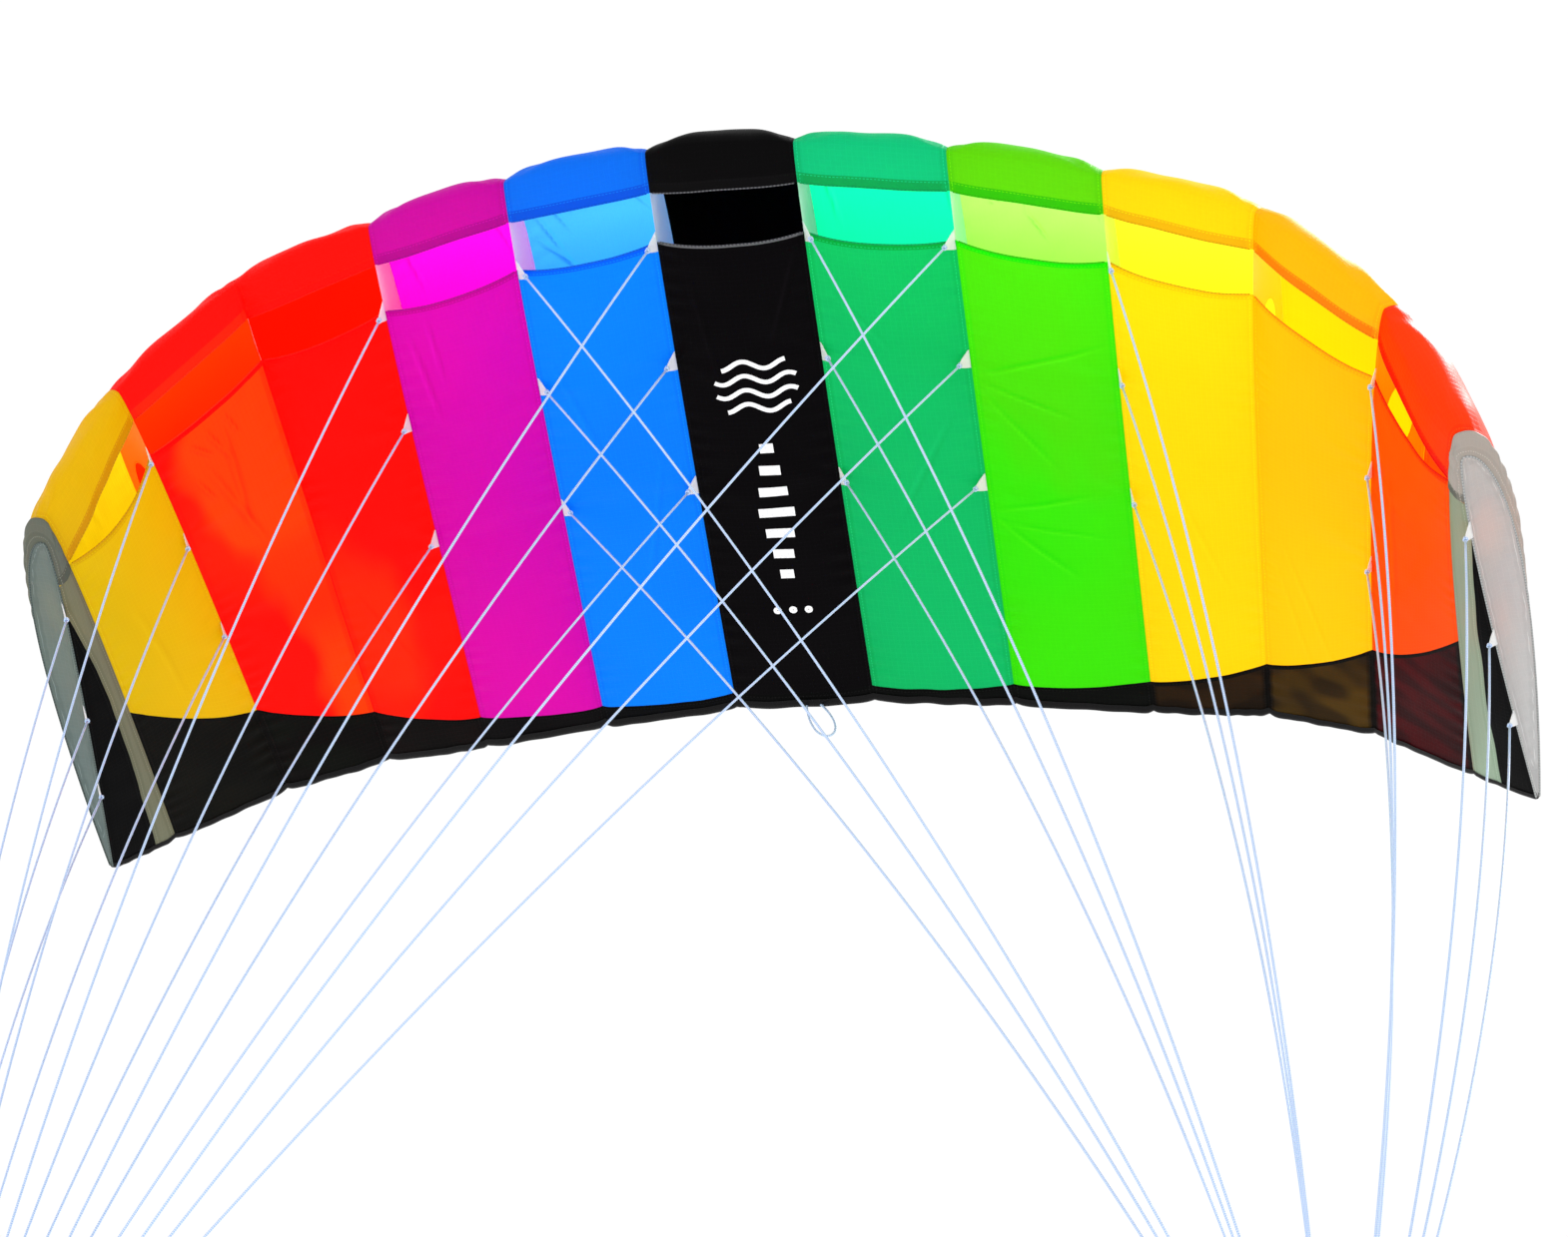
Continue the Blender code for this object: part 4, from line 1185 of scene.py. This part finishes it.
for rib in ribs:
    qs = np.concatenate([q_between(0.9985, 0.0, 80), q_between(0.0, -0.9985, 76)[1:]])
    u, v = section(qs)
    flat = np.stack([u * rib.chord, v * rib.depth], -1)
    flat = flat - rib.flat_normal(qs) * 0.0003
    holes = []
    if rib.step < 6:
        for c, half in ((0.26, 0.070), (0.50, 0.060)):
            _, hi = section(math.sqrt(c))
            _, lo = section(-math.sqrt(c))
            mid, tall = float(hi + lo) / 2 * rib.depth, float(hi - lo) * 0.27 * rib.depth
            ang = np.linspace(0, 2 * math.pi, 40, endpoint=False)
            holes.append(np.stack([c * rib.chord + half * rib.chord * np.cos(ang), mid + tall * np.sin(ang)], -1))
    pts, tri, border = flat_cut(flat, holes, 0.0055)
    gap = np.sqrt(np.array([np.min(np.sum((flat - p) ** 2, 1)) for p in pts]))
    off = 0.0009 * noise2(pts[:, 0], pts[:, 1], 700 + rib.index, 0.06) * np.clip(gap / 0.012, 0, 1)
    if rib.step == 6:
        share = np.clip(gap / 0.022, 0, 1)
        off = off - rib.side * 0.0065 * np.sin(share * math.pi / 2)
        along = pts[:, 0]
        gather = 0.0011 if rib.index == 0 else 0.0020
        if rib.index == 13:
            for (ax, ay), (bx, by), rise in (((0.05, 0.00), (0.55, 0.03), 2.4), ((0.12, 0.03), (0.80, 0.015), 1.8)):
                fold, _ = crease(pts[:, 0], pts[:, 1], ax * rib.chord, ay, bx * rib.chord, by, rise * 0.001, 0.004)
                off = off + fold
        off = off + gather * np.sin(2 * math.pi * along / 0.021 + 1.3 * noise2(along, along * 0, 31, 0.1)) * np.exp(-gap / 0.012) * np.clip(gap / 0.003, 0, 1)
    co = rib.nose + pts[:, :1] * rib.fwd + pts[:, 1:] * rib.up + off[:, None] * rib.normal
    hem = np.sqrt(np.array([np.min(np.sum((np.concatenate(holes) - p) ** 2, 1)) for p in pts])) if holes else np.full(len(pts), 1.0)
    label = f"rib_{rib.index:02d}" if rib.step < 6 else ("end_rib_left" if rib.index == 0 else "end_rib_right")
    mat = WHITE_CLOTH if rib.step < 6 else (END_CLOTH_L if rib.index == 0 else END_CLOTH_R)
    # painted coloured light on the white rib cloth
    if rib.index in RIB_PAINTED_LIGHT:
        rib_light_colour = linear(*RIB_PAINTED_LIGHT[rib.index])
        mat = ripstop(f"{label}_tinted_cloth", rib_light_colour, scaled(rib_light_colour, 0.9), light=0.5, specular=0.15,
                      hem_width=0.002, seam_dark=0.9)
    obj = build(f"{label}_cloth", co, tri, pts + 10.0, dict(seam=gap, hem=hem, fold=np.zeros(len(pts))), mat)
    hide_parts(label)
    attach(obj, tip_body(rib))
    tall = float(pts[:, 1].max() - pts[:, 1].min())


for rib in (ribs[0], ribs[13]):
    side = "left" if rib.index == 0 else "right"
    qs = np.concatenate([q_between(0.9985, 0.0, 90), q_between(0.0, -0.9985, 86)[1:]])
    obj = tube(f"end_rib_binding_{side}", rib.outline(qs), 0.0009,
               rolled(f"end_rib_binding_{side}", linear(96, 108, 104) if side == "left" else linear(176, 178, 176),
                      linear(70, 80, 78) if side == "left" else linear(140, 142, 142)), sides=6)
    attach(obj, f"wing_tip_{side}")


# --------------------------------------------------------------------------
# Tabs under the seams
# --------------------------------------------------------------------------
def tab_mesh(rib, u, seam, tip):
    """A small folded triangle of white cloth, its base in the seam."""
    half = TAB_BASE / 2 / rib.chord
    rows, cols = 9, 9
    down_way = tip - seam
    co = []
    for i in range(rows):
        t = i / (rows - 1)
        for j in range(cols):
            s = j / (cols - 1) * 2 - 1
            uu = u + s * half * (1 - t) ** 0.85
            base = rib.at(uu, lower_height(rib, uu) + 0.0012 * (1 - t))
            start = rib.at(u, lower_height(rib, u))
            p = base + down_way * t + (start - base) * 0.0
            p = p + rib.fwd * (s * 0.0016 * t)
            co.append(p)
    return np.array(co), grid_quads(rows, cols)


for index, spots in tabs.items():
    rib = ribs[index]
    all_co, all_q, all_uv, n = [], [], [], 0
    for u, seam, tip in spots:
        co, quads = tab_mesh(rib, u, seam, tip)
        all_co.append(co)
        all_q.append(quads + n)
        local = np.stack([(co - seam) @ rib.fwd, (co - seam) @ unit(tip - seam)], -1)
        all_uv.append(local + 10.0)
        n += len(co)
    co = np.concatenate(all_co)
    obj = build(f"tabs_{index:02d}", co, np.concatenate(all_q), np.concatenate(all_uv),
                dict(seam=np.full(len(co), 1.0), hem=np.full(len(co), 1.0), fold=np.zeros(len(co))), TAB_CLOTH)
    solid = obj.modifiers.new("folded", "SOLIDIFY")
    solid.thickness, solid.offset = 0.0009, 0.0
    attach(obj, tip_body(rib))

# --------------------------------------------------------------------------
# Bindings: rolled hems at the inlets and a folded black binding at the back
# --------------------------------------------------------------------------
def hem_tube(name, cell, qs, a1, height, front, material, radius, slot_name, lift=0.0):
    co, out = skin(cell, a1, qs, height, front=front)
    if isinstance(lift, np.ndarray):
        co = co + out * lift[:, None]
    obj = tube(name, co, radius, material, sides=6)
    return obj


for cell in range(1, CELLS - 1):
    label = LABELS[cell]
    # lower hem: read from the lower skin's own first row
    UU, co, out = lower_cache[cell]
    path = co[0][1:-1]
    obj = tube(f"inlet_hem_low_{label}", path, 0.0007, rolled_mats[label], sides=6)
    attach(obj, "root")
    # nose hem: the last row of the upper skin
    mesh = upper_rows[cell].data
    pts = np.array([v.co for v in mesh.vertices]).reshape(-1, 3)
    path = pts[-NC:][1:-1]
    obj = tube(f"inlet_hem_nose_{label}", path, 0.0007, rolled_mats[label], sides=6)
    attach(obj, "root")


def tail_binding(name, cells, body):
    cols, uvs = [], []
    prof = [(0.9865, 1), (0.992, 1), (0.9985, 1), (1.0, 0), (0.9985, -1), (0.992, -1), (0.9865, -1)]
    run = 0.0
    for n, cell in enumerate(cells):
        a1 = np.linspace(0, 1, NC if 0 < cell < 12 else NC // 2)
        if n:
            a1 = a1[1:]
        for a in a1:
            ring = []
            for u, s in prof:
                q = math.sqrt(u) * (1 if s >= 0 else -1)
                co, out = skin(cell, np.array([a]), np.array([q]), UPPER_BULGE if s >= 0 else LOWER_BULGE)
                p = co[0] + out[0] * 0.0007
                if s == 0:
                    low, _ = skin(cell, np.array([a]), np.array([-1.0]), LOWER_BULGE)
                    p = (co[0] + low[0]) / 2 + (ribs[cell].fwd + ribs[cell + 1].fwd) / 2 * 0.0016
                ring.append(p)
            cols.append(ring)
    co = np.array(cols)
    run = np.concatenate([[0.0], np.cumsum(np.linalg.norm(np.diff(co[:, 3], axis=0), axis=1))])
    uv = np.stack([np.repeat(run[:, None], len(prof), 1),
                   np.repeat(np.arange(len(prof))[None] * 0.0028, len(run), 0)], -1)
    edge = np.minimum(np.arange(len(prof)), len(prof) - 1 - np.arange(len(prof))) * 0.0028
    hem = np.repeat(edge[None], len(run), 0)
    obj = build(name, co.reshape(-1, 3), grid_quads(len(run), len(prof), flip=True), uv.reshape(-1, 2),
                dict(seam=np.full(hem.shape, 1.0), hem=hem + 0.0005, fold=np.zeros(hem.shape)), BINDING)
    return obj


obj = tail_binding("tail_binding", list(range(1, CELLS - 1)), "root")
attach(obj, "root")
for cell, side in ((0, "left"), (12, "right")):
    obj = tail_binding(f"tail_binding_{side}", [cell], None)
    tip_blend(obj, cell)

# --------------------------------------------------------------------------
# Print on the black centre cell: plain waves and bars
# --------------------------------------------------------------------------
t = Tree("white_print")
uv = t.node("ShaderNodeUVMap", _uv_map="cloth").outputs[0]
grain = t.node("ShaderNodeTexNoise", Vector=uv, Scale=380.0, Detail=3.0).outputs[0]
ink = t.mix(t.ramp(grain, 0.30, 0.70), linear(226, 226, 228), linear(255, 255, 255))
bump = t.node("ShaderNodeBump", Strength=0.3, Distance=0.0002, Height=grain).outputs[0]
skin_ink = t.node("ShaderNodeBsdfPrincipled", Roughness=t.math("ADD", t.math("MULTIPLY", grain, 0.3), 0.3),
                  Normal=bump, **{"Base__Color": ink})
t.nt.links.new(skin_ink.outputs[0], t.out.inputs["Surface"])
PRINT = t.mat


def on_centre(x, y):
    """A point of the centre cell's lower skin: x across from its middle, y from the front
    hem, both in metres, lifted clear of the cloth."""
    cell = 6
    chord = (ribs[6].chord + ribs[7].chord) / 2
    x, y = np.asarray(x, float), np.asarray(y, float)
    a = 0.5 + x / CELL_WIDTH
    u = LOWER_FRONT + y / chord
    co, out = skin(cell, a, -np.sqrt(u), LOWER_BULGE, front=lower_bulge(u, a))
    A2 = a.reshape(-1, 1)
    d, _ = lower_shape(cell, A2, np.full(len(A2), CELL_WIDTH), y.reshape(-1, 1), (1 - LOWER_FRONT) * chord)
    return co + out * (d.reshape(a.shape) + 0.00045)[..., None]


def stroke(centre, width, count):
    """A band of even width along a centreline, as a grid of points."""
    c = np.asarray(centre, float)
    s = np.concatenate([[0], np.cumsum(np.linalg.norm(np.diff(c, axis=0), axis=1))])
    k = np.linspace(0, s[-1], count)
    c = np.stack([np.interp(k, s, c[:, 0]), np.interp(k, s, c[:, 1])], -1)
    d = np.gradient(c, axis=0)
    n = unit(np.stack([-d[:, 1], d[:, 0]], -1))
    across = np.linspace(-0.5, 0.5, 4)
    return c[:, None] + n[:, None] * (across * width)[None, :, None]


strokes = []
for row, (y0, half) in enumerate(((0.128, 0.030), (0.143, 0.038), (0.158, 0.038), (0.173, 0.030))):
    xs = np.linspace(-half, half, 60)
    strokes.append(stroke(np.stack([xs, y0 + 0.0042 * np.sin(xs / 0.0205 * math.pi)], -1), 0.0046, 60))
for row in range(7):
    y0 = 0.218 + row * 0.0235
    half = (0.0065, 0.0100, 0.0135, 0.0170, 0.0135, 0.0100, 0.0065)[row]
    strokes.append(stroke([(-half, y0), (half, y0)], 0.0100, 16))
for x0 in (-0.015, 0.0, 0.015):
    ang = np.linspace(0, 2 * math.pi, 25)
    strokes.append(stroke(np.stack([x0 + 0.0022 * np.cos(ang), 0.400 + 0.0022 * np.sin(ang)], -1), 0.0034, 25))
co_all, q_all, uv_all, n = [], [], [], 0
for s in strokes:
    flat2 = s.reshape(-1, 2)
    co_all.append(on_centre(flat2[:, 0] + 0.004, flat2[:, 1]))
    q_all.append(grid_quads(s.shape[0], s.shape[1]) + n)
    uv_all.append(flat2 + 10.0)
    n += len(flat2)
obj = build("centre_print", np.concatenate(co_all), np.concatenate(q_all), np.concatenate(uv_all), (), PRINT)
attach(obj, "root")
